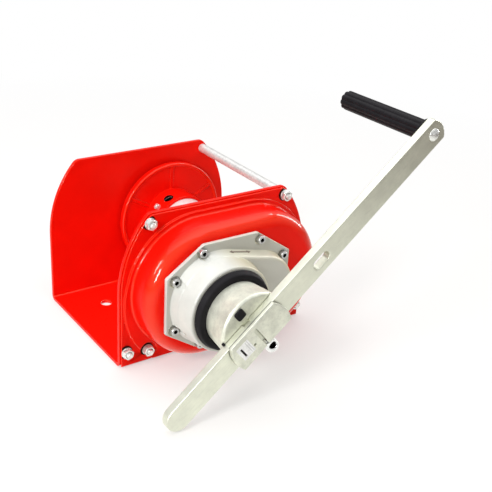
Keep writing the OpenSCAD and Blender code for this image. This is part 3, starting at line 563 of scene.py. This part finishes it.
def cast_paint(name, colours):
    """Silver-white coat on a blasted casting: fine grain, small pits and soft cloudiness, with painted shade
    on faces square to Y and a painted warm shade and reflection on faces turned to the right.
    """
    cast = Finish(name)
    cloud = cast.noise(26, detail=4, roughness=0.6)
    grain = cast.noise(0.7, detail=3, roughness=0.7)
    pits = cast.cells(3.4).clear_of(0.05, 0.22)
    colour = cast.blend(cloud.clear_of(0.3, 0.75), shade(colours.casting, 0.90), shade(colours.casting, 1.08))
    colour = cast.blend(grain.clear_of(0.62, 0.8) * 0.35, colour, shade(colours.casting, 0.62))
    ahead, aside = (cast.axis(cast.facing(), way) for way in "YX")
    # painted shade: faces square to Y are darker
    colour = cast.blend(ahead ** 2, colour, shade(colours.casting, 0.72))
    # painted warm shade and reflection: faces turned to the right are darker and warmer
    painted_warm_shade = tuple(channel * tint for channel, tint in zip(colours.casting, (0.90, 0.84, 0.66)))
    colour = cast.blend(aside.clear_of(-0.1, 0.4), colour, painted_warm_shade)
    height = grain * 0.7 + pits * 0.3
    cast.coat(base_color=colour, metallic=0.12, roughness=0.38 + cloud * 0.16,
              normal=cast.relief(height, 0.22, 0.16))


def zinc_hub(name, colours):
    """Plated casting: mottled greys, pits and a matt skin."""
    cast = Finish(name)
    cloud = cast.noise(13, detail=5, roughness=0.66)
    speck = cast.noise(2.2, detail=4, roughness=0.72)
    pits = cast.cells(2.6).clear_of(0.04, 0.24)
    colour = cast.blend(cloud.clear_of(0.38, 0.64), shade(colours.zinc, 0.84), shade(colours.zinc, 1.07))
    colour = cast.blend(speck.clear_of(0.54, 0.72) * 0.3, colour, shade(colours.zinc, 0.55))
    height = speck * 0.6 + pits * 0.5
    cast.coat(base_color=cast.with_painted_shade(colour), metallic=0.65, roughness=0.40 + speck * 0.18,
              normal=cast.relief(height, 0.35, 0.18))


def zinc_bar(name, colours):
    """Plated flat bar: cloudy streaks along the bar over a fine grain."""
    bar = Finish(name)
    along = bar.node("ShaderNodeMapping", {
        "Vector": bar.place, "Rotation": Vector((0, -BAR_SLOPE, 0)), "Scale": Vector((6.0, 1.0, 1.0))},
        vector_type="TEXTURE")
    streak = bar.noise(2.4, detail=5, roughness=0.7, place=along)
    cloud = bar.noise(17, detail=4, roughness=0.6)
    grain = bar.noise(0.6, detail=2)
    colour = bar.blend(cloud.clear_of(0.35, 0.7), shade(colours.zinc, 0.93), shade(colours.zinc, 1.07))
    colour = bar.blend(streak.clear_of(0.52, 0.74) * 0.25, colour, shade(colours.zinc, 0.62))
    height = streak * 0.7 + grain * 0.3
    bar.coat(base_color=bar.with_painted_shade(colour), metallic=0.92, roughness=0.33 + cloud * 0.14 + streak * 0.06,
             normal=bar.relief(height, 0.14, 0.1))


def plated(name, colour, metallic, roughness, swing, grain):
    """Bright plating whose roughness swings with slight clouds, over a grain in mm."""
    plate = Finish(name)
    cloud = plate.noise(grain * 6, detail=4, roughness=0.6)
    fine = plate.noise(grain, detail=3)
    tint = plate.blend(cloud.clear_of(0.35, 0.7), shade(colour, 0.84), shade(colour, 1.08))
    plate.coat(base_color=plate.with_painted_shade(tint), metallic=metallic, roughness=roughness + cloud * swing,
               normal=plate.relief(fine, 0.12, 0.05))


def machined(name, colour, roughness):
    """Turned or milled metal: rings round the shafts and a thin oil film."""
    metal = Finish(name)
    lines = metal.node("ShaderNodeMapping", {"Vector": metal.place, "Scale": Vector((0.12, 1.0, 0.12))})
    rings = metal.noise(0.5, detail=4, roughness=0.7, place=lines)
    film = metal.noise(9, detail=3)
    tint = metal.blend(rings.clear_of(0.35, 0.7), shade(colour, 0.82), shade(colour, 1.1))
    metal.coat(base_color=metal.with_painted_shade(tint), metallic=0.95, roughness=roughness + film * 0.12,
               normal=metal.relief(rings, 0.16, 0.05))


def matt(name, colour, roughness, grain, depth):
    """Moulded rubber, plastic or lining: fine grain and slightly uneven sheen, in mm."""
    moulded = Finish(name)
    fine = moulded.noise(grain, detail=3, roughness=0.6)
    cloud = moulded.noise(grain * 14, detail=3)
    tint = moulded.blend(cloud.clear_of(0.3, 0.75), shade(colour, 0.8), shade(colour, 1.35))
    moulded.coat(base_color=tint, specular_ior_level=0.10, roughness=roughness + fine * 0.12,
                 normal=moulded.relief(fine, 0.25, depth))


# ---------- pieces ----------


class WINCH_OT_finishes(bpy.types.Operator):
    """Makes every finish and gives it to the CAD nodes"""

    bl_idname = "winch.finishes"
    bl_label = "Finishes"

    def execute(self, context):
        colours = context.scene.winch_colours
        red_paint("red_paint", colours)
        cast_paint("cast_paint", colours)
        zinc_hub("zinc_hub", colours)
        zinc_bar("zinc_bar", colours)
        plated("zinc_fasteners", (0.86, 0.86, 0.84), metallic=0.6, roughness=0.20, swing=0.12, grain=0.8)
        plated("bright_screw", (0.92, 0.93, 0.94), metallic=0.9, roughness=0.14, swing=0.10, grain=0.7)
        plated("bare_steel", (0.90, 0.90, 0.89), metallic=0.35, roughness=0.30, swing=0.14, grain=0.6)
        plated("pale_rod", (0.80, 0.80, 0.78), metallic=0.45, roughness=0.30, swing=0.14, grain=0.6)
        machined("machined_steel", (0.56, 0.56, 0.56), roughness=0.26)
        machined("bronze", (0.66, 0.42, 0.17), roughness=0.28)
        matt("lining", (0.20, 0.16, 0.13), roughness=0.8, grain=1.1, depth=0.12)
        matt("black_rubber", tuple(colours.rubber), roughness=0.5, grain=0.9, depth=0.05)
        matt("black_plastic", (0.012, 0.011, 0.013), roughness=0.4, grain=0.8, depth=0.05)
        for name, node in frame["nodes"].items():
            clothe(node, SLOT[name])
        return {"FINISHED"}


class WINCH_OT_sheet_metal(bpy.types.Operator):
    """Rounds the edges of the bent frame and of the pressed gear cover"""

    bl_idname = "winch.sheet_metal"
    bl_label = "Frame and cover"

    def execute(self, context):
        sizes = context.scene.winch_sizes
        finish_piece(round_edges(skin("frame", "frame_sheet"), sizes.sheet_edge, 3), "frame")
        finish_piece(round_rims(skin("gear_cover", "cover_pressing"), sizes.press_edge), "gear_cover")
        return {"FINISHED"}


class WINCH_OT_castings(bpy.types.Operator):
    """Rounds the cast edges of brake housing and crank hub, and paints shade into the joint round the bar"""

    bl_idname = "winch.castings"
    bl_label = "Housing and hub"

    def execute(self, context):
        sizes = context.scene.winch_sizes
        housing = round_edges(skin("brake_housing", "housing_casting"), sizes.casting_edge, 3, angle=34)
        finish_piece(housing, "brake_housing")
        hub = round_edges(skin("handle_hub", "hub_casting"), sizes.hub_edge, 3)
        joint = 1.3  # mm of hub that the painted shade line in front of the bar takes up
        only(hub)
        bpy.ops.object.mode_set(mode="EDIT")
        bpy.ops.mesh.select_all(action="SELECT")
        bpy.ops.mesh.bisect(plane_co=(0, (BAR_FRONT - joint) * MM, 0), plane_no=(0, 1, 0), threshold=CUT)
        bpy.ops.object.mode_set(mode="OBJECT")
        # painted shade: the hub's faces in the gap in front of the bar turn near-black
        finish_piece(mark_painted_shade(hub, lambda spot: BAR_FRONT - joint < spot.y < BAR_FRONT), "handle_hub")
        return {"FINISHED"}


class WINCH_OT_crank(bpy.types.Operator):
    """Rolled edges of the crank bar, and the ribbed grip with its collar"""

    bl_idname = "winch.crank"
    bl_label = "Crank bar and grip"

    def execute(self, context):
        sizes = context.scene.winch_sizes
        finish_piece(round_edges(skin("crank_bar", "crank_flat"), sizes.bar_edge, 3), "crank_bar")
        finish_piece(round_edges(skin("grip", "grip_sleeve"), 0.5, 3, angle=40), "grip")
        finish_piece(round_edges(skin("grip_collar", "grip_flange"), 0.6, 3), "grip_collar")
        return {"FINISHED"}


class WINCH_OT_drum(bpy.types.Operator):
    """Rounded drum flanges, the barrel and its rope clamp screw, with painted shade inside the rope hole and
    the barrel's bore
    """

    bl_idname = "winch.drum"
    bl_label = "Drum"

    def execute(self, context):
        from_end, turn = 17, math.radians(115)
        hole_radius, hole_start, hole_end, bore_radius = 5.6, 25, 32.9, 27.2
        hole_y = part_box("drum_barrel")[1].y / MM - from_end
        spoke = Vector((math.cos(turn), 0, math.sin(turn)))

        def in_rope_hole(spot):
            spot = spot - DRUM
            reach = spot.dot(spoke)
            aside = spot - spoke * reach - Vector((0, hole_y, 0))
            return hole_start < reach < hole_end and aside.length < hole_radius

        def in_barrel(spot):
            return in_rope_hole(spot) or math.hypot(spot.x - DRUM.x, spot.z - DRUM.z) < bore_radius

        # painted shade: faces inside the rope hole, and the barrel's bore, turn near-black
        for node, width, test in (
                ("drum_flange_rear", 0.6, in_rope_hole), ("drum_flange_front", 0.6, in_rope_hole),
                ("rope_clamp_screw", 0.4, in_rope_hole), ("drum_barrel", 0.3, in_barrel)):
            name = node.replace("drum", "rope_drum") + "_finished"
            finish_piece(mark_painted_shade(round_edges(skin(node, name), width, 2, angle=35), test), node)
        return {"FINISHED"}


def thread_size(nut_flats):
    """Nominal thread of a nut, from its width across flats, in mm."""
    return (nut_flats - 1) / 1.5


class WINCH_OT_nuts(bpy.types.Operator):
    """Chamfered hexagon nuts on the cover bolts and on both ends of the tie rod"""

    bl_idname = "winch.nuts"
    bl_label = "Nuts"

    def template(self, flats, height, bore):
        """A nut with its seat at the origin, facing -Y, in mm."""
        corner, face = flats / math.sqrt(3) + 0.02, 0.475 * flats
        slope = (corner - face) * math.tan(math.radians(30))
        nut = hexagon("nut", flats, -height, 0)
        carve(nut, turned("blank", [
            (0, 0), (face, 0), (corner, -slope), (corner, slope - height), (face, -height),
            (0, -height)]), "INTERSECT")
        sink, over = 0.5, 1
        lip = bore / 2 + sink
        carve(nut, turned("bore", [
            (0, over), (lip, over), (lip, 0), (bore / 2, -sink), (bore / 2, sink - height), (lip, -height),
            (lip, -height - over), (0, -height - over)]))
        round_edges(nut, 0.15, 2, angle=20)
        # painted shade: the faces inside the bore turn near-black
        return mark_painted_shade(nut, lambda spot: math.hypot(spot.x, spot.z) < lip and 0.05 - height < spot.y < -0.05)

    def execute(self, context):
        play, first_turn, next_turn = 0.1, 9, 23
        for node, name in (("cover_nuts", "cover_nut_set"), ("tie_rod_nuts", "tie_rod_nut_set")):
            boxes = shells(node)
            low, high = boxes[0]
            flats = high.x - low.x
            nut = self.template(flats, high.y - low.y, thread_size(flats) + play)
            spots = []
            for index, (low, high) in enumerate(boxes):
                x, z = centre(low, high)
                rear = low.y > 0
                spots.append((x, low.y if rear else high.y, z, next_turn * index + first_turn, rear))
            finish_piece(set_out(nut, name, spots), node)
        return {"FINISHED"}


def thread(name, diameter, pitch, length):
    """A threaded end along -Y from the origin, with a chamfered tip, in mm."""
    root, crest, spare = diameter / 2 - 0.61 * pitch, diameter / 2, 2
    groove = [(root, 0), (crest, -0.42), (crest, -0.54), (root, -0.92), (root, -1)]
    bpy.ops.mesh.primitive_circle_add(vertices=len(groove), radius=MM)
    piece = newest(name)
    for vertex, (radius, turns) in zip(piece.data.vertices, groove):
        vertex.co = Vector((radius, (turns + spare) * pitch, 0)) * MM
    bpy.ops.object.mode_set(mode="EDIT")
    pick(piece, "EDGE", lambda edge: {v.index for v in edge.verts} == {0, len(groove) - 1})
    bpy.ops.mesh.delete(type="EDGE_FACE")
    bpy.ops.object.mode_set(mode="OBJECT")
    modify(piece, "SCREW", axis="Y", angle=-FULL_TURN, screw_offset=-pitch * MM, steps=36, render_steps=36,
           iterations=math.ceil(length / pitch) + 2 * spare, use_merge_vertices=True, merge_threshold=WELD)
    bpy.ops.object.mode_set(mode="EDIT")
    for y, way in ((0, 1), (-length, -1)):
        bpy.ops.mesh.select_all(action="SELECT")
        bpy.ops.mesh.bisect(
            plane_co=(0, y * MM, 0), plane_no=(0, way, 0), use_fill=True, clear_outer=True, threshold=CUT)
    bpy.ops.mesh.select_all(action="SELECT")
    bpy.ops.mesh.remove_doubles(threshold=WELD)
    bpy.ops.mesh.normals_make_consistent(inside=False)
    bpy.ops.object.mode_set(mode="OBJECT")
    chamfer = diameter / 2 - root + 0.1
    return carve(piece, turned("tip", [
        (0, 1), (crest + 1, 1), (crest + 1, 0), (crest + 0.01, 0), (crest + 0.01, chamfer - length),
        (crest - chamfer, -length), (0, -length)]), "INTERSECT")


def join_threads(ends, shank, name):
    """Joins threaded ends to their shank and shades the whole."""
    only(*ends, shank)
    bpy.ops.object.join()
    piece = newest(name)
    bpy.ops.object.shade_smooth_by_angle(angle=math.radians(35))
    return piece


class WINCH_OT_bolts(bpy.types.Operator):
    """Clinch studs through frame and cover, and the tie rod, all with cut threads"""

    bl_idname = "winch.bolts"
    bl_label = "Studs and tie rod"

    def execute(self, context):
        pitch = context.scene.winch_sizes.thread_pitch
        low, high = shells("cover_nuts")[0]
        size = thread_size(high.x - low.x)
        self.studs(size, pitch)
        self.tie_rod(size, pitch)
        return {"FINISHED"}

    def studs(self, size, pitch):
        """The clinch studs: a flat head behind the sheet and a thread at the front."""
        boxes = shells("cover_bolts")
        low, high = boxes[0]
        rim, length = (high.x - low.x) / 2, high.y - low.y
        head, thread_length, overlap = 1, 10, 0.5
        neck = thread_length - length
        shank = turned("stud", [
            (0, 0), (rim - 0.6, 0), (rim, -0.4), (rim, -head), (size / 2, -head), (size / 2, neck - overlap),
            (0, neck - overlap)])
        end = thread("end", size, pitch, thread_length)
        end.location.y = neck * MM
        stud = join_threads([fixed(end)], shank, "stud")
        spots = []
        for low, high in boxes:
            x, z = centre(low, high)
            spots.append((x, high.y, z, 0, False))
        finish_piece(set_out(stud, "cover_stud_set", spots), "cover_bolts")

    def tie_rod(self, size, pitch):
        """The distance rod between the plates, with a thread at each end."""
        x, z, radius, front, back = round_box("tie_rod")
        washer, sheet, chamfer, buried = 0.15 * size, 4, 0.5, 1
        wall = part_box("tie_rod_washers")[1].y / MM - washer - sheet
        shank = turned("rod", [
            (0, -wall), (radius - chamfer, -wall), (radius, chamfer - wall), (radius, wall - chamfer),
            (radius - chamfer, wall), (0, wall)], x, z)
        ends = []
        for rear, tip in ((False, front), (True, back)):
            end = thread("rod_end", size, pitch, abs(tip) - wall + buried)
            turn = Matrix.Rotation(math.pi if rear else 0, 4, "Z")
            start = Vector((x, (wall - buried) * (1 if rear else -1), z)) * MM
            end.matrix_world = Matrix.Translation(start) @ turn
            ends.append(fixed(end))
        rod = finish_piece(join_threads(ends, shank, "tie_rod_turned"), "tie_rod")
        clothe(rod, "pale_rod")


class WINCH_OT_washers(bpy.types.Operator):
    """Flat washers with rounded rims"""

    bl_idname = "winch.washers"
    bl_label = "Washers"

    def execute(self, context):
        for node in ("cover_washers", "tie_rod_washers"):
            finish_piece(round_edges(skin(node, node + "_finished"), 0.25, 2), node)
        return {"FINISHED"}


class WINCH_OT_socket_screws(bpy.types.Operator):
    """Socket head screws of the brake housing, with knurled heads"""

    bl_idname = "winch.socket_screws"
    bl_label = "Socket screws"

    def execute(self, context):
        boxes = shells("housing_screws")
        low, high = boxes[0]
        radius, length = (high.x - low.x) / 2, high.y - low.y
        head, shank, sides, key, key_depth, next_turn = 5.0, 2.5, 60, 4, 2.6, 19
        tip = length - head
        screw = turned("screw", [
            (0, -head), (radius - 0.6, -head), (radius, 0.6 - head), (radius, -0.5), (radius - 0.3, 0),
            (shank, 0), (shank, tip - 0.5), (shank - 0.5, tip), (0, tip)], steps=sides)

        def in_groove(vertex):
            x, _, z = vertex.co
            on_rim = abs(math.hypot(x, z) - radius * MM) < 0.01 * MM
            return on_rim and round(math.atan2(z, x) / math.radians(360 / sides)) % 2

        bpy.ops.object.mode_set(mode="EDIT")
        pick(screw, "EDGE", lambda edge: all(map(in_groove, edge.verts)))
        bpy.ops.transform.resize(value=(0.965, 1, 0.965), center_override=(0, 0, 0))
        bpy.ops.object.mode_set(mode="OBJECT")
        carve(screw, hexagon("socket", key, -head - 1, -head + key_depth))
        round_edges(screw, 0.12, 2, angle=40, smooth=30)
        # painted shade: the faces inside the key socket turn near-black
        mark_painted_shade(screw, lambda spot: math.hypot(spot.x, spot.z) < 2.25 and -head + 0.3 < spot.y < -1)
        spots = []
        for index, (low, high) in enumerate(boxes):
            x, z = centre(low, high)
            spots.append((x, low.y + head, z, next_turn * index, False))
        screws = finish_piece(set_out(screw, "housing_screw_set", spots), "housing_screws")
        clothe(screws, "machined_steel")
        return {"FINISHED"}


class WINCH_OT_hub_fittings(bpy.types.Operator):
    """Clamp screw, lock screw, blank plate, grip rivet, rubber seal and rim pin of the hub"""

    bl_idname = "winch.hub_fittings"
    bl_label = "Hub fittings"

    def execute(self, context):
        self.clamp_screw()
        self.lock_cap()
        self.blank_plate()
        finish_piece(round_edges(skin("grip_spindle", "grip_rivet"), 0.3, 2, angle=40), "grip_spindle")
        self.seal_ring()
        self.rim_pin()
        return {"FINISHED"}

    def clamp_screw(self):
        """The cross-hole screw that clamps the bar, with painted shade inside its hole."""
        clamp = round_edges(skin("clamp_screw", "clamp_screw_finished"), 0.9, 3, angle=40)
        hole_height, hole_radius = 7.5, 3.8
        hole_z = min(on_crank(vertex.co / MM).z for vertex in clamp.data.vertices) + hole_height
        mark_painted_shade(clamp, lambda spot: math.hypot(on_crank(spot).x, on_crank(spot).z - hole_z) < hole_radius)
        finish_piece(clamp, "clamp_screw")

    def seal_ring(self):
        """The rubber ring between hub and housing, with a rolled face and two lips."""
        x, z, outer, front, back = round_box("dust_seal")
        inner = outer - 8.55
        ring = turned("seal_ring", [
            (inner, back), (outer - 0.3, back), (outer, back - 0.4), (outer - 1.4, front + 2.2),
            (outer - 1.9, front + 1.1), (outer - 2.6, front + 0.45), (outer - 3.6, front),
            (inner + 1.6, front), (inner + 1.0, front + 0.5), (inner + 0.4, front + 0.2),
            (inner, front + 0.3)], x, z, steps=144)
        finish_piece(round_edges(ring, 0.15, 2, angle=25), "dust_seal")

    def rim_pin(self):
        """The small black pin in the hub's rim, beside the bar."""
        spot = from_crank(-30.7, 17.8)
        rim, height, radius, chamfer, sunk = BAR_FRONT + 8, 1.2, 1.4, 0.4, 1
        pin = turned("hub_rim_pin", [
            (0, rim - height), (radius - chamfer, rim - height), (radius, rim - height + chamfer),
            (radius, rim + sunk), (0, rim + sunk)], spot.x, spot.z, steps=24)
        add_to("handle_hub", shaded(pin), "black_plastic")

    def lock_cap(self):
        """The lock screw's square cap with soft corners, over the CAD node's own shank."""
        cap = skin("hub_lock_screw", "hub_lock_finished")
        corner, depth, raised, widened = 1.8, 1.3, 1.2, 1.2
        bpy.ops.object.mode_set(mode="EDIT")
        pick(cap, "EDGE", lambda edge: len(edge.link_faces) == 2
             and edge.calc_face_angle() > 1 and depth_of(edge) > 1.1 * MM)
        bpy.ops.mesh.bevel(offset=corner * MM, segments=5, affect="EDGES", clamp_overlap=False)
        front = min(vertex.co.y for vertex in bmesh.from_edit_mesh(cap.data).verts)
        pick(cap, "VERT", lambda vertex: vertex.co.y < front + depth * MM)
        spots = [vertex.co for vertex in bmesh.from_edit_mesh(cap.data).verts if vertex.select]
        middle = sum(spots, Vector()) / len(spots)
        bpy.ops.transform.resize(value=(widened, 1, widened), center_override=middle)
        pick(cap, "VERT", lambda vertex: vertex.co.y < front + 0.1 * MM)
        bpy.ops.transform.translate(value=(0, -raised * MM, 0))
        bpy.ops.object.mode_set(mode="OBJECT")
        finish_piece(round_edges(cap, 0.9, 3), "hub_lock_screw")

    def blank_plate(self):
        """A thin blank plate with three plain rules, stuck on the jaw."""
        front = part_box("handle_hub")[0].y / MM
        across = 5.6
        turn = Matrix.Rotation(-BAR_SLOPE, 4, "Y")
        for name, along, width, height, thick, edge, slot in (
                ("plate", -20.8, 14.5, 17.0, 0.25, 0.12, "bare_steel"),
                ("rule_a", -15.4, 0.5, 15.0, 0.3, 0.1, "machined_steel"),
                ("rule_b", -17.4, 0.5, 15.0, 0.3, 0.1, "machined_steel"),
                ("rule_c", -24.0, 2.0, 11.0, 0.3, 0.1, "black_plastic")):
            bpy.ops.mesh.primitive_cube_add(size=MM)
            piece = newest("jaw_" + name)
            spot = from_crank(along, across)
            place = Matrix.Translation(Vector((spot.x, front - thick / 2, spot.z)) * MM)
            piece.matrix_world = place @ turn @ Matrix.Diagonal((width, thick, height, 1))
            add_to("handle_hub", round_edges(fixed(piece), edge, 2), slot)


class WINCH_OT_cast_mark(bpy.types.Operator):
    """Plain dark arrow, standing up from the top of the housing"""

    bl_idname = "winch.cast_mark"
    bl_label = "Arrow on the housing"

    def execute(self, context):
        height, sunk = context.scene.winch_sizes.mark_height, 0.3
        normal = Vector((0.2307, -0.1497, 0.9614)).normalized()
        along = (Vector((1, 0, 0)) - normal * normal.x).normalized()
        across = normal.cross(along)
        spot = Vector((-4.3, -125.5, 122.3))
        outline = [
            (-9, 0.7), (-9, 2), (-13, 0), (-9, -2), (-9, -0.7), (9, -0.7), (9, -2), (13, 0), (9, 2), (9, 0.7)]
        bpy.ops.mesh.primitive_circle_add(vertices=len(outline), radius=MM, fill_type="NGON")
        arrow = newest("cast_arrow")
        for vertex, (u, v) in zip(arrow.data.vertices, outline):
            vertex.co = (spot + along * u + across * v - normal * sunk) * MM
        bpy.ops.object.mode_set(mode="EDIT")
        bpy.ops.mesh.select_all(action="SELECT")
        bpy.ops.mesh.extrude_region_move(TRANSFORM_OT_translate={"value": normal * (height + sunk) * MM})
        bpy.ops.mesh.select_all(action="SELECT")
        bpy.ops.mesh.normals_make_consistent(inside=False)
        bpy.ops.object.mode_set(mode="OBJECT")
        add_to("brake_housing", round_edges(arrow, 0.2, 2), "lining")
        return {"FINISHED"}


# ---------- stage ----------


class WINCH_OT_stage(bpy.types.Operator):
    """Pale paper floor, softboxes, soft surroundings and the camera"""

    bl_idname = "winch.stage"
    bl_label = "Stage"

    def execute(self, context):
        scene = context.scene
        stage = scene.winch_stage
        bpy.ops.mesh.primitive_plane_add(size=14, location=(0, 0, 0))
        floor = newest("paper_floor")
        floor.data.materials.append(self.paper(scene.winch_colours.floor))
        self.softbox("key", (-1.35, -0.52, 0.98), 0.5, 0.5, stage.key_power).visible_glossy = False
        self.softbox("top", (0.1, 0.1, 1.6), 2.6, 2.6, stage.top_power)
        self.softbox("rim", (1.9, 0.35, 0.55), 1.3, 1.3, stage.rim_power)
        for name, place, height in (
                ("low", (-1.32, -0.98, 0.5), 0.5), ("side", (-1.32, -0.17, 0.8), 0.5),
                ("right", (1.4, 0.0, 0.75), 1.3)):
            self.softbox("strip_" + name, place, 0.2, height, stage.strip_power).visible_diffuse = False
        scene.world = self.surroundings()
        self.camera(scene, stage)
        scene.view_settings.view_transform = "Standard"
        return {"FINISHED"}

    def surroundings(self):
        """Soft white all round: dim as a light, a little brighter in gloss and white to the camera."""
        world = bpy.data.worlds.new("surroundings")
        world.use_nodes = True
        tree = world.node_tree
        background = tree.nodes["Background"].inputs
        background["Color"].default_value = (1, 1, 1, 1)
        rays = tree.nodes.new("ShaderNodeLightPath").outputs
        camera, glossy = Value(tree, rays["Is Camera Ray"]), Value(tree, rays["Is Glossy Ray"])
        connect(tree, background["Strength"], 0.27 + glossy * 0.17 + camera * 0.8)
        return world

    def paper(self, colour):
        """Diffuse paper: white to the camera away from the winch, and a painted glow in reflections that
        fades with distance.
        """
        paper = Finish("floor_paper")
        rays = paper.tree.nodes.new("ShaderNodeLightPath")
        camera, glossy, through = (Value(paper.tree, rays.outputs[name]) for name in (
            "Is Camera Ray", "Is Glossy Ray", "Is Transmission Ray"))
        distance = paper.node("ShaderNodeVectorMath", {0: paper.place}, out="Value", operation="LENGTH")
        lit = paper.node("ShaderNodeBsdfDiffuse", {"Color": tuple(colour)})
        white = paper.node("ShaderNodeEmission", {"Color": (1.0, 1.0, 1.0), "Strength": 1.0})
        # painted glow: in reflections the paper glows, bright near the winch and dark far off
        reflected_glow = paper.node("ShaderNodeEmission", {
            "Color": paper.blend(distance.clear_of(0.42, 1.05), (1.1, 1.1, 1.04), (0.15, 0.11, 0.09))})
        seen = paper.shaders(camera * (0.45 + distance.clear_of(0.3, 1.0) * 0.55), lit, white)
        paper.node("ShaderNodeOutputMaterial", {"Surface": paper.shaders(glossy.most(through), seen, reflected_glow)})
        return paper.material

    def softbox(self, name, place, width, height, power):
        """A rectangular lamp, turned towards the winch."""
        aim = Vector((0, -0.08, 0.08))
        bpy.ops.object.light_add(type="AREA", location=place)
        lamp = newest("softbox_" + name)
        lamp.data.shape = "RECTANGLE"
        lamp.data.size = width
        lamp.data.size_y = height
        lamp.data.energy = power
        lamp.rotation_euler = (aim - Vector(place)).to_track_quat("-Z", "Y").to_euler()
        return lamp

    def camera(self, scene, stage):
        """The camera, placed in mm and turned by azimuth, elevation and roll."""
        spot = Vector((-446.68, -740.07, 487.65))
        side, height, roll = (math.radians(a) for a in (stage.azimuth, stage.elevation, stage.roll))
        back = Vector((
            math.sin(side) * math.cos(height), -math.cos(side) * math.cos(height), math.sin(height)))
        level = Vector((math.cos(side), math.sin(side), 0))
        upright = back.cross(level)
        right = level * math.cos(roll) - upright * math.sin(roll)
        up = level * math.sin(roll) + upright * math.cos(roll)
        bpy.ops.object.camera_add(location=(0, 0, 0))
        camera = newest("camera")
        pose = Matrix((right, up, back)).transposed().to_4x4()
        pose.translation = spot * MM
        camera.matrix_world = pose
        camera.data.lens = stage.lens
        camera.data.sensor_width = 36
        camera.data.clip_start = 0.01
        camera.data.clip_end = 50
        scene.camera = camera


STEPS = (
    WINCH_OT_finishes, WINCH_OT_sheet_metal, WINCH_OT_castings, WINCH_OT_crank, WINCH_OT_drum, WINCH_OT_nuts,
    WINCH_OT_bolts, WINCH_OT_washers, WINCH_OT_socket_screws, WINCH_OT_hub_fittings, WINCH_OT_cast_mark,
    WINCH_OT_stage)
GROUPS = (("winch_sizes", WinchSizes), ("winch_colours", WinchColours), ("winch_stage", WinchStage))


class WINCH_PT_panel(bpy.types.Panel):
    """Winch sizes, colours and building steps"""

    bl_idname = "WINCH_PT_panel"
    bl_label = "Brake winch"
    bl_space_type = "VIEW_3D"
    bl_region_type = "UI"
    bl_category = "Winch"

    def draw(self, context):
        for name, group in GROUPS:
            box = self.layout.box()
            for setting in group.__annotations__:
                box.prop(getattr(context.scene, name), setting)
        for step in STEPS:
            self.layout.operator(step.bl_idname)


def register():
    for name, group in GROUPS:
        bpy.utils.register_class(group)
        setattr(bpy.types.Scene, name, bpy.props.PointerProperty(type=group))
    for part in (*STEPS, WINCH_PT_panel):
        bpy.utils.register_class(part)


def unregister():
    for part in (WINCH_PT_panel, *reversed(STEPS)):
        bpy.utils.unregister_class(part)
    for name, group in reversed(GROUPS):
        delattr(bpy.types.Scene, name)
        bpy.utils.unregister_class(group)


def main():
    """Builds the winch step by step."""
    register()
    for step in STEPS:
        group, call = step.bl_idname.split(".")
        getattr(getattr(bpy.ops, group), call)()


if __name__ == "__main__":
    main()
